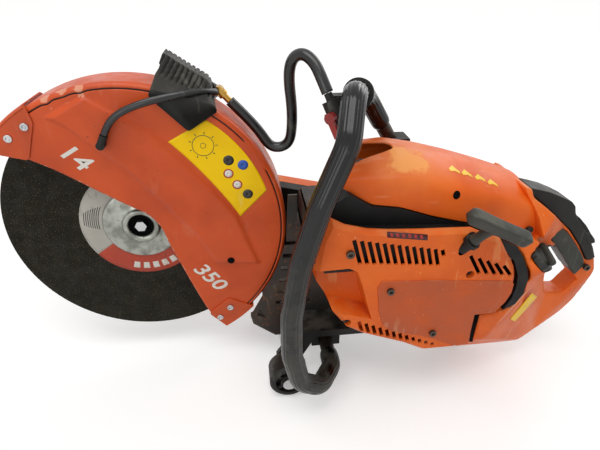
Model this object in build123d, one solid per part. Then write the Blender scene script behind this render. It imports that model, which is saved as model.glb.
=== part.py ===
from build123d import *
import math
import os

# Petrol cut-off saw, millimetres.
# Modelling frame: origin on the cutting disc's axis, +X towards the rear handle,
# +Y towards the belt side, +Z up. The whole saw is moved at the end so that its
# origin is the bottom centre of its box.

# Driving dimensions
disc_r = 175.0            # 350 mm abrasive disc
disc_t = 4.0
flange_r = 51.0
spindle_r = 12.5
floor_z = -225.0          # what the wheels and feet stand on

guard_r = 195.0           # outside of the guard's rim
guard_half = 30.0         # half the guard's width
guard_wall = 1.8
hub_r = 34.0              # arm hub that the guard turns on
seam = 0.05               # between two parts that touch

crank_x, crank_z = 335.0, -60.0
belt_y0, belt_y1 = 53.0, 67.0
driven_r, drive_r = 58.0, 30.5
belt_t = 5.0
arm_y0, arm_y1 = 31.0, 52.0
arm_wall = 4.0
cover_y1 = 79.0
belt_gap = 0.3

case_y0, case_y1 = -92.0, 30.5
case_wall = 4.0
bore_r = 25.0             # cylinder bore
cylinder_y = -38.0
fin_pitch = 6.4
base_z = -150.0           # underside of the base tray

starter_y = -150.0        # outer face of the starter side
shroud_y = -140.7         # front of the black shroud behind it
shell_t = 3.0
handle_y = -82.0          # middle plane of the rear handle
tank_y0, tank_y1 = -140.0, -18.0
tank_z = -187.0
handle_half = 17.0        # half the rear handle's width

inlet_r = 6.0
tube_r = 10.0             # steel tube of the front handle
sleeve_r = 13.0           # rubber over it
wheel_r, wheel_w = 27.0, 36.0
wheel_x = 187.0
hose_r = 6.5
spray_r = 4.2

parts = {}
cover_fasteners = []
free_hoses = ["water_hose"]


def keep(name, shape):
    parts[name] = shape


def block(x0, x1, y0, y1, z0, z1):
    return Pos((x0 + x1) / 2, (y0 + y1) / 2, (z0 + z1) / 2) * Box(x1 - x0, y1 - y0, z1 - z0)


def plate(points, y0, y1):
    """An outline of (x, z) points, thick from y0 to y1."""
    wire = Polyline(*[(x, y0, z) for x, z in points], close=True)
    return extrude(make_face(wire), amount=y1 - y0, dir=(0, 1, 0))


def soft_plate(points, y0, y1, radius):
    """As plate, with the corners of the outline rounded."""
    solid = plate(points, y0, y1)
    return fillet(solid.edges().filter_by(Axis.Y), radius)


def shrink(points, inset):
    """The outline moved inwards by a wall's thickness, each corner mitred."""
    area = sum(x0 * z1 - x1 * z0 for (x0, z0), (x1, z1) in zip(points, points[1:] + points[:1]))
    turn = 1 if area > 0 else -1
    moved = []
    for before, here, after in zip(points[-1:] + points[:-1], points, points[1:] + points[:1]):
        into = math.atan2(here[1] - before[1], here[0] - before[0]) + turn * math.pi / 2
        out = math.atan2(after[1] - here[1], after[0] - here[0]) + turn * math.pi / 2
        mid = (into + out) / 2 + (math.pi if abs(into - out) > math.pi else 0)
        reach = inset / max(math.cos(into - mid), 0.4)
        moved.append((here[0] + reach * math.cos(mid), here[1] + reach * math.sin(mid)))
    return moved


def disc(x, z, y0, y1, r):
    """A round bar along Y."""
    return Pos(x, (y0 + y1) / 2, z) * Rot(X=90) * Cylinder(r, y1 - y0)


def along(point, way, distance):
    """The point that lies some distance from another one, along a unit direction."""
    return tuple(p + distance * w for p, w in zip(point, way))


def post(x, y, z0, z1, r):
    return Pos(x, y, (z0 + z1) / 2) * Cylinder(r, z1 - z0)


def bar(start, way, length, r):
    """A round bar from a point, along a direction."""
    plane = Plane(origin=start, z_dir=way)
    return plane * Pos(0, 0, length / 2) * Cylinder(r, length)


def hex_screw(x, z, y, r, length, way):
    """Socket head screw along Y: head outside y, shank going in by way."""
    head = disc(x, z, min(y, y - 4 * way), max(y, y - 4 * way), r)
    socket = disc(x, z, min(y - 4 * way, y - 1.5 * way), max(y - 4 * way, y - 1.5 * way), r * 0.5)
    shank = disc(x, z, min(y, y + length * way), max(y, y + length * way), r * 0.5)
    return head - socket + shank


def belt_loop(r0, r1, y0, y1):
    """The outline of a belt round the spindle and the crank, as a solid."""
    dist = math.hypot(crank_x, crank_z)
    lean = math.atan2(crank_z, crank_x)
    half = math.acos((r0 - r1) / dist)

    def on(cx, cz, r, angle):
        return (cx + r * math.cos(angle), y0, cz + r * math.sin(angle))

    a_up, a_down = lean + half, lean - half
    top0, top1 = on(0, 0, r0, a_up), on(crank_x, crank_z, r1, a_up)
    low0, low1 = on(0, 0, r0, a_down), on(crank_x, crank_z, r1, a_down)
    edges = [
        Line(top0, top1),
        ThreePointArc(top1, on(crank_x, crank_z, r1, lean), low1),
        Line(low1, low0),
        ThreePointArc(low0, on(0, 0, r0, lean + math.pi), top0),
    ]
    return extrude(make_face(Wire(edges)), amount=y1 - y0, dir=(0, 1, 0))


def turned(profile, y_axis_x=0.0, y_axis_z=0.0):
    """A solid of revolution about Y from (radius, y) points."""
    wire = Polyline(*[(r, y, 0) for r, y in profile], close=True)
    solid = revolve(make_face(wire), axis=Axis.Y)
    return Pos(y_axis_x, 0, y_axis_z) * solid


def bend_radii(route):
    """The largest arc at each corner that its two runs leave room for."""
    radii = []
    for before, here, after in zip(route, route[1:], route[2:]):
        run_in, run_out = Vector(*here) - Vector(*before), Vector(*after) - Vector(*here)
        half_turn = math.radians(run_in.get_angle(run_out)) / 2
        radii.append(0.45 * min(run_in.length, run_out.length) / math.tan(half_turn))
    return radii


def hose_along(route, radii, r):
    """A tube of straight runs joined by tangent arcs."""
    path = FilletPolyline(*route, radius=radii)
    return sweep(Plane(origin=path @ 0, z_dir=path % 0) * Circle(r), path=path)


# Cutting set

def cutting_set():
    half = disc_t / 2
    keep("cutting_disc", disc(0, 0, -half, half, disc_r) - disc(0, 0, -half, half, 12.7))
    outer = turned([(5.2, -half), (flange_r, -half), (flange_r, -half - 2.5), (flange_r - 2, -half - 4),
                    (40, -half - 4.6), (24.5, -half - 6.2), (22.5, -half - 10), (16.5, -half - 10),
                    (15, -half - 8), (15, -half - 3), (5.2, -half - 3)])
    keep("outer_flange", outer)
    inner = turned([(spindle_r, half), (flange_r, half), (flange_r, half + 3), (30, half + 6),
                    (26, half + 9), (spindle_r, half + 9)])
    keep("inner_flange", inner)
    shaft = disc(0, 0, -half + 0.4, 74, spindle_r) - disc(0, 0, -half + 0.4, 30, 5.05)
    keep("spindle_shaft", shaft)
    head = Pos(0, -half - 6.5, 0) * Rot(X=90) * extrude(RegularPolygon(8, 6), amount=3.5, both=True)
    keep("flange_bolt", head + disc(0, 0, -half - 3, 26, 5.0))
    pulley = turned([(spindle_r, belt_y0 - 3), (driven_r + 5, belt_y0 - 3), (driven_r + 5, belt_y0 - 0.5),
                     (driven_r, belt_y0 - 0.5), (driven_r, belt_y1 + 0.5), (driven_r + 5, belt_y1 + 0.5),
                     (driven_r + 5, belt_y1 + 2.5), (driven_r - 6, belt_y1 + 2.5), (driven_r - 6, belt_y0 + 4),
                     (22, belt_y0 + 4), (22, belt_y1 + 2.5), (spindle_r, belt_y1 + 2.5)])
    keep("driven_pulley", pulley)


# Guard, turning on the arm's hub

mouth = [(-109, 110), (-81, 95), (-56, 77), (-25, 55), (0, 38), (15, 30), (27, 15), (33, 2), (37, -19),
         (47, -47), (56, -76), (69, -113), (78, -138), (89, -157), (103, -166)]
band = [(-77, 158), (-62, 149), (-25, 115), (0, 90), (25, 59), (50, 24), (75, -10), (97, -54), (158, -60),
        (147, -29), (131, 21), (100, 65), (66, 106), (38, 137), (0, 162), (-31, 182)]
spray_exit = (-19.0, 127.0)
spray_way = (0.45, 0, 0.89)
spray_path = [(-12.8, -42.5, 139.2), (-7, -43, 151), (6, -43.4, 163), (27, -43.4, 172), (52, -42.5, 178),
              (76, -38.5, 181.5), (95, -29.5, 181.5), (108, -19, 178.5), (115.5, -9.3, 175.4)]
fitting_way = (0.66, 0.0, -0.75)
grip_side = [(44, 187), (41, 179), (81, 137), (117, 160), (113, 168)]
grip_crest = [(60, 223), (50, 183), (82, 150), (114, 166), (109, 190)]


def guard_outline(reach):
    """Everything on the covered side of the mouth line, out to a radius."""
    return mouth + [(103 + reach * 0.5, -166), (reach + 40, -166), (reach + 40, reach + 40), (-131, reach + 40),
                    (-131, 134), (-130, 124), (-122, 117)]


def guard_shell():
    cover = plate(guard_outline(guard_r), -guard_half, guard_half)
    rim = disc(0, 0, -guard_half, guard_half, guard_r) & cover
    void = disc(0, 0, -guard_half + guard_wall, guard_half - guard_wall, guard_r - guard_wall)
    shell = rim - void
    collar = disc(0, 0, guard_half - guard_wall, guard_half, hub_r + 22)
    raised = plate(band, -guard_half - 4.5, -guard_half)
    outer_side = raised.faces().sort_by(Axis.Y)[0]
    raised = chamfer(outer_side.edges(), 4.0)
    raised = raised & disc(0, 0, -guard_half - 5, -guard_half, guard_r - 5)
    shell = shell + collar + raised - disc(0, 0, 0, guard_half + 1, hub_r + 0.3)
    return shell - disc(117, -49, -guard_half - 6, -guard_half + guard_wall + 1, 5)


def end_cap(points, rivets, right):
    """A plate on the guard's left side, folded over the rim as far as right."""
    left = -guard_half - 2.2
    cap = soft_plate(points, left, right, 5)
    cap = cap & disc(0, 0, left, right, guard_r + 2.2)
    cap = cap - disc(0, 0, -guard_half - seam, guard_half + seam, guard_r + seam)
    heads = [disc(x, z, left - 1.8, left, 4.6) - disc(x, z, left - 1.8, left - 0.6, 2.2) for x, z in rivets]
    return cap, heads


def guard_grip():
    """A ribbed saddle over the rim, narrow at its crest."""
    half = guard_half + 6
    levels = [(-half, grip_side), (-14, grip_crest), (14, grip_crest), (half, grip_side)]
    wires = [Wire(Polyline(*[(x, y, z) for x, z in pts], close=True).edges()) for y, pts in levels]
    body = loft([Face(w) for w in wires], ruled=True)
    hollow = disc(0, 0, -guard_half - 5, guard_half + 5, guard_r + 0.05)
    return body - hollow


def guard():
    shell = guard_shell()
    front_points = [(-96, 190), (-150, 190), (-150, 120), (-106, 108), (-90, 152)]
    rear_points = [(78, -142), (109, -117), (160, -142), (112, -180)]
    front, front_rivets = end_cap(front_points, [(-100, 149), (-121, 136)], -guard_half - seam)
    rear, rear_rivets = end_cap(rear_points, [(110, -133), (94, -150)], guard_half)
    grip = guard_grip()
    keep("guard_shell", shell)
    keep("guard_end_plates", Compound(children=[front, rear]))
    keep("guard_rivets", Compound(children=front_rivets + rear_rivets))
    x, z = spray_exit
    nozzles = []
    for side in (-1, 1):
        y = side * guard_half
        foot = disc(x, z, *sorted((y, y + side * 4)), 8)
        elbow = disc(x, z, *sorted((y + side * 4, y + side * 16)), 5)
        nozzles.append(foot + elbow + bar((x, y + side * 12.5, z), spray_way, 13, 4.8))
    keep("spray_nozzles", Compound(children=[n - shell for n in nozzles]))
    hoses = []
    for side in (-1, 1):
        route = [(x, -side * y, z) for x, y, z in spray_path]
        radii = bend_radii(route)
        hoses.append(hose_along(route, radii, spray_r))
    keep("spray_hoses", Compound(children=hoses))
    for hose in hoses:
        grip = grip - hose
    keep("guard_grip", grip)
    tee = disc(119, 175, -5, 5, 6) + bar((119, 0, 175), fitting_way, 8, 6)
    tee = tee + bar((119, 0, 175), fitting_way, 17, 4)
    keep("hose_fitting", tee)


# Saw arm and belt drive

def arm_and_drive():
    y_in = arm_y0 + arm_wall
    tray = belt_loop(72, 52, arm_y0, arm_y1) - belt_loop(72 - arm_wall, 52 - arm_wall, y_in, arm_y1)
    hub = disc(0, 0, 13.5, arm_y1 - 2, hub_r)
    tray = tray + hub - disc(0, 0, 13.5, arm_y1, 23.5)
    tray = tray - disc(crank_x, crank_z, arm_y0, y_in, 44)
    spots = [(90, 6), (84, -38), (268, -26), (262, -68)]
    keep("saw_arm", tray)
    lid = belt_loop(72, 52, arm_y1 + 0.05, cover_y1)
    lid = chamfer(lid.faces().sort_by(Axis.Y)[-1].edges(), 4)
    lid = lid - belt_loop(72 - shell_t, 52 - shell_t, arm_y1, cover_y1 - shell_t)
    lid = lid - disc(0, 0, cover_y1 - 5, cover_y1, 14)
    for x, z in spots:
        y_face = cover_y1 - shell_t
        lid = lid + disc(x, z, arm_y1 + 0.05, y_face, 5.5) - disc(x, z, arm_y1, cover_y1, 3)
        head = disc(x, z, cover_y1, cover_y1 + 3, 5) - disc(x, z, cover_y1 + 1, cover_y1 + 3, 2.4)
        cover_fasteners.append(head + disc(x, z, arm_y1 + 1, cover_y1, 2.7))
    keep("arm_cover", lid & belt_loop(72, 52, arm_y1, cover_y1))
    outer, inner = 23.5, spindle_r
    races = []
    for y0 in (14.5, 37.5):
        races.append(disc(0, 0, y0, y0 + 12, outer) - disc(0, 0, y0, y0 + 12, inner + 0.05))
    keep("spindle_bearings", Compound(children=races))
    loop = belt_loop(driven_r + belt_gap + belt_t, drive_r + belt_gap + belt_t, belt_y0 + 0.5, belt_y1 - 0.5)
    loop = loop - belt_loop(driven_r + belt_gap, drive_r + belt_gap, belt_y0, belt_y1)
    keep("drive_belt", loop)
    pulley = turned([(8.05, 37), (38, 37), (38, 50), (drive_r + 4, 50), (drive_r + 4, belt_y0 - 0.5),
                     (drive_r, belt_y0 - 0.5), (drive_r, belt_y1 + 0.5), (drive_r + 4, belt_y1 + 0.5),
                     (drive_r + 4, belt_y1 + 2.5), (8.05, belt_y1 + 2.5)], crank_x, crank_z)
    pulley = pulley - disc(crank_x, crank_z, 36, 47, 35)
    pulley = pulley + disc(crank_x, crank_z, 40, 48, 12) - disc(crank_x, crank_z, 30, 80, 8.05)
    keep("clutch_drum", pulley)
    ring = disc(crank_x, crank_z, 37.5, 46, 34.5) - disc(crank_x, crank_z, 37, 46, 13)
    for k in range(3):
        cut = Rot(Y=120 * k) * block(-1.2, 1.2, 37, 46, 13, 35)
        ring = ring - Pos(crank_x, 0, crank_z) * cut
    keep("clutch_shoes", ring)
    idler_x, idler_z = 190, -3
    idler = disc(idler_x, idler_z, belt_y0, belt_y1, 11) - disc(idler_x, idler_z, belt_y0, belt_y1, 4)
    pin = disc(idler_x, idler_z, y_in, belt_y1 + 2, 3.9)
    keep("belt_tensioner", Compound(children=[idler, pin]))


# Engine

def engine():
    case = block(268, 402, case_y0, case_y1, base_z + 12, -8)
    case = fillet(case.edges().filter_by(Axis.Y), 16)
    case = case + disc(crank_x, crank_z, case_y1, arm_y0 + arm_wall, 43)
    room = block(268 + case_wall, 402 - case_wall, case_y0 + case_wall, case_y1 - case_wall,
                 base_z + 12 + case_wall, -8 - case_wall)
    room = room - disc(crank_x, crank_z, case_y0, case_y1, 18)
    case = case - (room - disc(crank_x, crank_z, cylinder_y - 26, cylinder_y + 26, 52))
    case = case - disc(crank_x, crank_z, cylinder_y - 22, cylinder_y + 22, 47)
    case = case - disc(crank_x, crank_z, case_y0 - 1, arm_y0 + arm_wall + 1, 9)
    case = case - post(crank_x, cylinder_y, -20, 0, 31)
    keep("crankcase", case)
    barrel = post(crank_x, cylinder_y, -8, 80, 31)
    for k in range(12):
        z = -2 + k * fin_pitch
        fin = block(crank_x - 44, crank_x + 44, cylinder_y - 44, cylinder_y + 44, z, z + 2)
        barrel = barrel + fillet(fin.edges().filter_by(Axis.Z), 12)
    barrel = barrel - post(crank_x, cylinder_y, -9, 70, bore_r) - post(crank_x, cylinder_y, 70, 82, 5)
    keep("cylinder", barrel)
    crown_z = 52
    piston = post(crank_x, cylinder_y, 14, crown_z, bore_r - 0.05)
    piston = piston - post(crank_x, cylinder_y, 13, crown_z - 6, bore_r - 4)
    wrist_z = 28
    rod = disc(crank_x, crank_z + 22, cylinder_y - 5, cylinder_y + 5, 12)
    rod = rod + block(crank_x - 5, crank_x + 5, cylinder_y - 4, cylinder_y + 4, crank_z + 30, wrist_z - 6)
    rod = rod + disc(crank_x, wrist_z, cylinder_y - 5, cylinder_y + 5, 9)
    rod = rod - disc(crank_x, crank_z + 22, -60, 0, 8.05)
    keep("piston_and_rod", Compound(children=[piston, rod]))
    shaft = disc(crank_x, crank_z, -124, cylinder_y - 20, 8)
    shaft = shaft + disc(crank_x, crank_z, cylinder_y + 20, belt_y1 + 6, 8)
    for y0 in (cylinder_y - 20, cylinder_y + 8):
        shaft = shaft + disc(crank_x, crank_z, y0, y0 + 12, 36)
    shaft = shaft + disc(crank_x, crank_z + 22, cylinder_y - 9, cylinder_y + 9, 8)
    keep("crankshaft", shaft)
    wheel = disc(crank_x, crank_z, -111, -98, 48) - disc(crank_x, crank_z, -111, -104, 44)
    wheel = wheel + disc(crank_x, crank_z, -111, -98, 16)
    for k in range(16):
        blade = block(20, 47.5, -118, -110, -1, 1)
        wheel = wheel + Pos(crank_x, 0, crank_z) * Rot(Y=22.5 * k) * blade
    keep("flywheel", wheel - disc(crank_x, crank_z, -130, -90, 8))
    drum = disc(crank_x, crank_z, -136, -126, 36) - disc(crank_x, crank_z, -133, -129, 36.1)
    drum = drum + disc(crank_x, crank_z, -133, -129, 31) - disc(crank_x, crank_z, -137, -125, 5.3)
    keep("rope_drum", drum)
    can = block(214, 284, -83, -4, 6, 44)
    can = fillet(can.edges().filter_by(Axis.Y), 10)
    can = can - block(216, 282, -81, -6, 8, 42)
    keep("muffler", can)
    plug = post(crank_x, cylinder_y, 60, 90, 4.95) + post(crank_x, cylinder_y, 80, 87, 8)
    keep("spark_plug", plug)
    boot = post(crank_x, cylinder_y, 87.05, 103, 9) - post(crank_x, cylinder_y, 87, 91, 5)
    keep("plug_cap", boot + block(crank_x, crank_x + 30, cylinder_y - 5, cylinder_y + 5, 94, 103))
    carb = block(384, 420, -64, -12, 6, 33) - Pos(402, cylinder_y, 20) * Rot(Y=90) * Cylinder(9, 40)
    keep("carburettor", carb)
    filt = block(424, 462, -90, -14, 36, 66)
    keep("air_filter", fillet(filt.edges().filter_by(Axis.Y), 8))


# Covers

hood_stations = [  # x, low edge, crest, half width
    (258, 88, 108, 58),
    (285, 71, 118, 64),
    (318, 67, 120, 67),
    (359, 52, 112, 68),
    (400, 41, 101, 68),
    (441, 32, 88, 66),
    (478, 20, 73, 62),
    (512, 6, 55, 54),
]
hood_y = -53.0
hood_right_low = -4.0
switch_at = (486.2, -110.5, 20.0)
switch_way = (0.15, -0.92, 0.36)
switch_r = 4.0


def hood_section(x, low, crest, half):
    """Rounded top, short left skirt, long right skirt down to the belt arm."""
    side = [(half, 0), (half - 1, 0.32), (half - 12, 0.68), (half * 0.48, 0.92), (half * 0.16, 1.0)]
    tall = crest - low
    points = [(x, hood_y + half, hood_right_low)]
    points += [(x, hood_y + y, low + t * tall) for y, t in side[1:]]
    points += [(x, hood_y - y, low + t * tall) for y, t in reversed(side)]
    return Face(Wire(Polyline(*points, close=True).edges()))


def hood_envelope():
    return loft([hood_section(*s) for s in hood_stations], ruled=True)


def switch_hole():
    return bar(along(switch_at, switch_way, -6), switch_way, 40, switch_r + 0.4)


def hood():
    outer = hood_envelope()
    inner = loft([hood_section(x, low, crest - shell_t, half - shell_t)
                  for x, low, crest, half in hood_stations], ruled=True)
    inner = inner + Pos(0, 0, -1) * inner
    behind_seam = [(474, 100), (479, 76), (480, 67), (493, 40), (502, 9), (443, 33), (443, -5), (530, -5), (530, 100)]
    shell = outer - inner - plate(behind_seam, -150, 50) - plate(shrink(tank_outline, -1), -150, 50)
    scoop = plate([(250, 60), (250, 140), (276, 126), (306, 126), (316, 112), (303, 108), (266, 98)], -109, -35)
    shell = shell - scoop
    shell = shell - block(250, 263, -109, 3, 60, 98)
    keep("top_cover", shell - disc(386, 77, -130, -100, 5.0) - switch_hole())


def shroud():
    low = [(228, -5), (228, 48), (250, 47), (290, 45), (335, 43), (382, 40), (424, 30), (424, -5)]
    high = [(228, -5), (228, 66), (258, 86), (285, 69), (318, 65), (359, 50), (400, 39), (424, 33), (424, -5)]
    behind_gap = [(420, -5), (420, 30), (440, 24), (462, 14), (474, -2), (484, -21), (489, -36), (489, -58),
                  (481, -76), (466, -84), (474, -66), (476, -48), (474, -30), (464, -8), (452, 6), (440, 10)]
    body = plate(low, shroud_y, -88) + plate(high, -121.7, -88) + plate(behind_gap, shroud_y, shroud_y + 8)
    body = body - plate(shrink(low, 3.5), shroud_y + 3.5, -88) - plate(shrink(high, 3.5), -118, -88)
    body = body - bar(along(pull_from, pull_way, -70), pull_way, 75, 8)
    keep("engine_shroud", body - Pos(0, 0, -0.5) * hood_envelope())


starter_outline = [(222, 43), (233, 70), (249, 61), (274, 54), (299, 51), (335, 49), (372, 48), (396, 47), (414, 38),
                   (435, 30), (446, 12), (461, -11), (466, -29), (466, -48), (461, -63), (449, -80), (424, -81),
                   (423, -107), (424, -131), (401, -136), (363, -136), (335, -121), (308, -110), (281, -99),
                   (258, -85), (240, -60), (222, -28), (215, -5)]
panel_outline = [(459, -29), (464, -34), (464, -48), (459, -62), (448, -78), (422, -79), (422, -107), (423, -129),
                 (401, -129), (378, -117), (354, -106), (326, -98), (313, -93), (302, -82), (296, -62), (291, -24),
                 (296, -15), (367, -20)]
pull_from = (392.0, -149.0, 26.0)
pull_way = (0.40, -0.45, 0.80)
grip_way = (0.894, 0.0, -0.447)
rope_in = 70.0            # straight rope inside the housing
panel_face = starter_y - 1.5
deep_y = starter_y + 10   # where the sunk screws' heads sit
cover_screws = [(255.5, 26.6)]
deep_screws = [(257, -75.5), (404.5, -15.5)]
panel_screws = [(307, -29.5), (369, -102)]


def slot(x0, z0, x1, z1, width, y0, y1):
    """A slanted slot from its top to its bottom end."""
    length = math.hypot(x1 - x0, z1 - z0)
    lean = math.degrees(math.atan2(x1 - x0, z0 - z1))
    cut = Pos((x0 + x1) / 2, (y0 + y1) / 2, (z0 + z1) / 2) * Rot(Y=-lean)
    return cut * Box(width, abs(y1 - y0), length)


def starter_side():
    body = plate(starter_outline, starter_y, -97)
    body = chamfer(body.faces().sort_by(Axis.Y)[0].edges(), 5)
    inner = plate(shrink(starter_outline, shell_t), starter_y + shell_t, -96)
    pocket = plate([(200, 10), (274, 8), (280, -20), (287, -48), (296, -82), (262, -98), (200, -60)],
                   starter_y + 2, -118.4)
    body = body - (inner - pocket)
    scoop_low = [(200, 4), (256, 6), (266, 0), (273, -20), (280, -46), (288, -73), (262, -64), (236, -58), (200, -40)]
    scoop_deep = [(222, 0), (252, 1), (262, -4), (270, -22), (277, -47), (284, -69), (262, -59), (238, -52),
                  (222, -36)]
    levels = [Face(Wire(Polyline(*[(x, y, z) for x, z in pts], close=True).edges()))
              for y, pts in ((starter_y - 0.1, scoop_low), (-122.5, scoop_deep))]
    body = body - loft(levels, ruled=True)
    body = body - block(200, 480, shroud_y - 1.3, -90, -6, 90) - plate(shrink(tank_outline, -2), -152, -90)
    body = body - plate(panel_outline, starter_y - 1, starter_y + 1)
    boss_x, boss_z = deep_screws[1]
    body = body + disc(boss_x, boss_z, starter_y + 2, deep_y + 14, 7)
    for k in range(12):
        body = body - slot(259 + 8.75 * k, 44 - 1.75 * k, 268 + 8.55 * k, 11 - 0.9 * k, 4.8, -155, -140)
    body = body - slot(364, 23, 367, 14, 4.8, -155, -140)
    for k in range(12):
        x, z, drop = 272 + 9.1 * k, -75 - 4.25 * k, 18 - 1.2 * k
        body = body - slot(x, z, x + 0.3 * drop, z - drop, 4.4, -155, -140)
    for k in range(5):
        body = body - slot(400 + 11.25 * k, 12 - 4.5 * k, 416 + 10.4 * k, -15.5 - 1.6 * k, 4.4, -155, -140)
    body = body - disc(crank_x, crank_z, starter_y, -146, 33)
    bush_seat = bar(along(pull_from, pull_way, -20), pull_way, 50, 7)
    bush_seat = bush_seat + bar(along(pull_from, pull_way, 5.5), pull_way, 30, 10)
    body = body - bush_seat
    for x, z in cover_screws:
        body = body - disc(x, z, -160, -100, 3.2)
    for x, z in deep_screws:
        body = body - disc(x, z, -160, deep_y, 5.3) - disc(x, z, deep_y, -100, 3.2)
    for x, z in panel_screws:
        body = body - disc(x, z, -160, -100, 2.8)
    keep("starter_cover", body)
    panel = plate(panel_outline, panel_face, starter_y + 1)
    panel = chamfer(panel.faces().sort_by(Axis.Y)[0].edges(), 0.6)
    for x, z in panel_screws:
        panel = panel - disc(x, z, -160, -140, 2.8)
    panel = panel + disc(crank_x, crank_z, starter_y + 1, -136.5, 10) + disc(crank_x, crank_z, -137, -128.5, 5)
    keep("starter_panel", panel)
    screws = [hex_screw(x, z, starter_y, 4.8, 9, 1) for x, z in cover_screws]
    screws += [hex_screw(x, z, deep_y, 4.8, 12, 1) for x, z in deep_screws]
    screws += [hex_screw(x, z, panel_face, 4.4, 10, 1) for x, z in panel_screws]
    screws.append(hex_screw(*handle_screw, handle_y - handle_half - 1.5, 4.6, 30, 1))
    keep("casing_screws", Compound(children=screws + cover_fasteners))
    collar = bar(along(pull_from, pull_way, -8), pull_way, 16, 6.9)
    collar = collar + bar(along(pull_from, pull_way, 6), pull_way, 6, 9.5)
    keep("rope_bush", collar - bar(along(pull_from, pull_way, -30), pull_way, 90, 2.6))
    seat = along(pull_from, pull_way, 12.4)
    stem = bar(seat, pull_way, 26, 7)
    handle = Plane(origin=along(along(seat, pull_way, 33), grip_way, 6), x_dir=grip_way, z_dir=pull_way)
    cross = fillet(Box(88, 17, 17).edges().filter_by(Axis.X), 5)
    grip = stem + handle * fillet(cross.faces().filter_by(Axis.X).edges(), 3)
    keep("starter_grip", grip)
    keep("starter_rope", bar(along(seat, pull_way, -rope_in), pull_way, rope_in, 2.2))


# Tank and rear handle

tank_outline = [(446, 33), (470, 27), (503, 9), (494, 40), (480.5, 68), (480.5, 73), (490, 70), (490, 61.6), (507, 49),
                (536, 25), (560, 6), (583, -21), (600, -46), (606, -46), (613, -44), (619, -61), (620, -71),
                (618, -87), (615, -103), (609, -124), (594, -143), (565, -161), (524, -183), (498, tank_z),
                (436, tank_z), (436, -135), (437, -91), (463, -89), (477, -68), (481, -46), (480, -28), (472, -8),
                (458, 14)]
hand_hole = [(521, -4), (545, -15), (589, -69), (598, -79), (583, -102), (556, -99), (541, -74), (538, -64),
             (527, -26)]
insert_outline = [(524, 3), (533, 9), (546, 11), (559, 1), (569, -10), (581, -24), (593, -39), (599, -52), (589, -69),
                  (545, -15)]
pad_outline = [(490.3, 70), (505, 66), (520, 61.5), (536, 54.5), (552, 46.5), (558, 40), (561, 31), (566, 22),
               (590, -4), (604, -26), (612, -42), (606, -45.4), (600.3, -45.4), (583.3, -20.4), (560.3, 6.6),
               (536.3, 25.6), (507.3, 49.6), (490.3, 61.9)]
lock_outline = [(562.6, 28.2), (576, 18), (589, 5.6), (600, -8), (608, -16.4), (610.4, -22), (604, -24.4), (591, -3.2),
                (568, 21.6)]
lock_room = [(560, 34), (564, 17.5), (582, -4), (596, -26), (601, -36), (607, -34), (620, -20), (600, 30)]
lock_pivot = (567.5, 16.6)
trigger_outline = [(525, -7), (527, 2.4), (531, 4), (536, 2), (546, -9), (548, -22), (541, -27), (532, -20)]
trigger_room = [(518, -30), (521, 5.5), (541, 5.5), (556, -13), (553, -30)]
trigger_pivot = (531.0, -0.5)
handle_screw = (601.0, -55.0)
cap_at = (502.0, -129.0, -17.0)
cap_way = (0.62, -0.25, 0.744)
cap_r = 19.0


def rear_plan(y_in, y_out):
    """Plan of the tank and handle: wide at the tank, narrow at the hand."""
    wide0, wide1 = tank_y0 + y_in, tank_y1 - y_in
    half = handle_half - y_in
    pts = [(425, wide0), (488, wide0), (553, handle_y - half), (632, handle_y - half + 2),
           (632, handle_y + half - 2), (553, handle_y + half), (488, wide1), (425, wide1)]
    wire = Polyline(*[(x, y, -230) for x, y in pts], close=True)
    return extrude(make_face(wire), amount=340, dir=(0, 0, 1))


def rear_section():
    """Section across the tank and the handle's root, looking along the saw."""
    pts = [(tank_y0, -134), (tank_y0, -8), (-134, 16), (-118, 50), (-100, 76), (-80, 90), (-20, 80), (-8, 30),
           (tank_y1, 0), (tank_y1, tank_z), (-97, tank_z)]
    wire = Polyline(*[(425, y, z) for y, z in pts], close=True)
    return extrude(make_face(wire), amount=210, dir=(1, 0, 0))


def crease_cut():
    """What the slanted crease takes off the tank's left rear corner."""
    a, b, c = Vector(499, tank_y0, -52), Vector(459, tank_y0, -118), Vector(594, -99, -100)
    outward = (b - a).cross(c - a).normalized()
    return Plane(origin=a, x_dir=(b - a).normalized(), z_dir=outward) * Pos(0, 0, 60) * Box(500, 500, 120)


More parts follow.
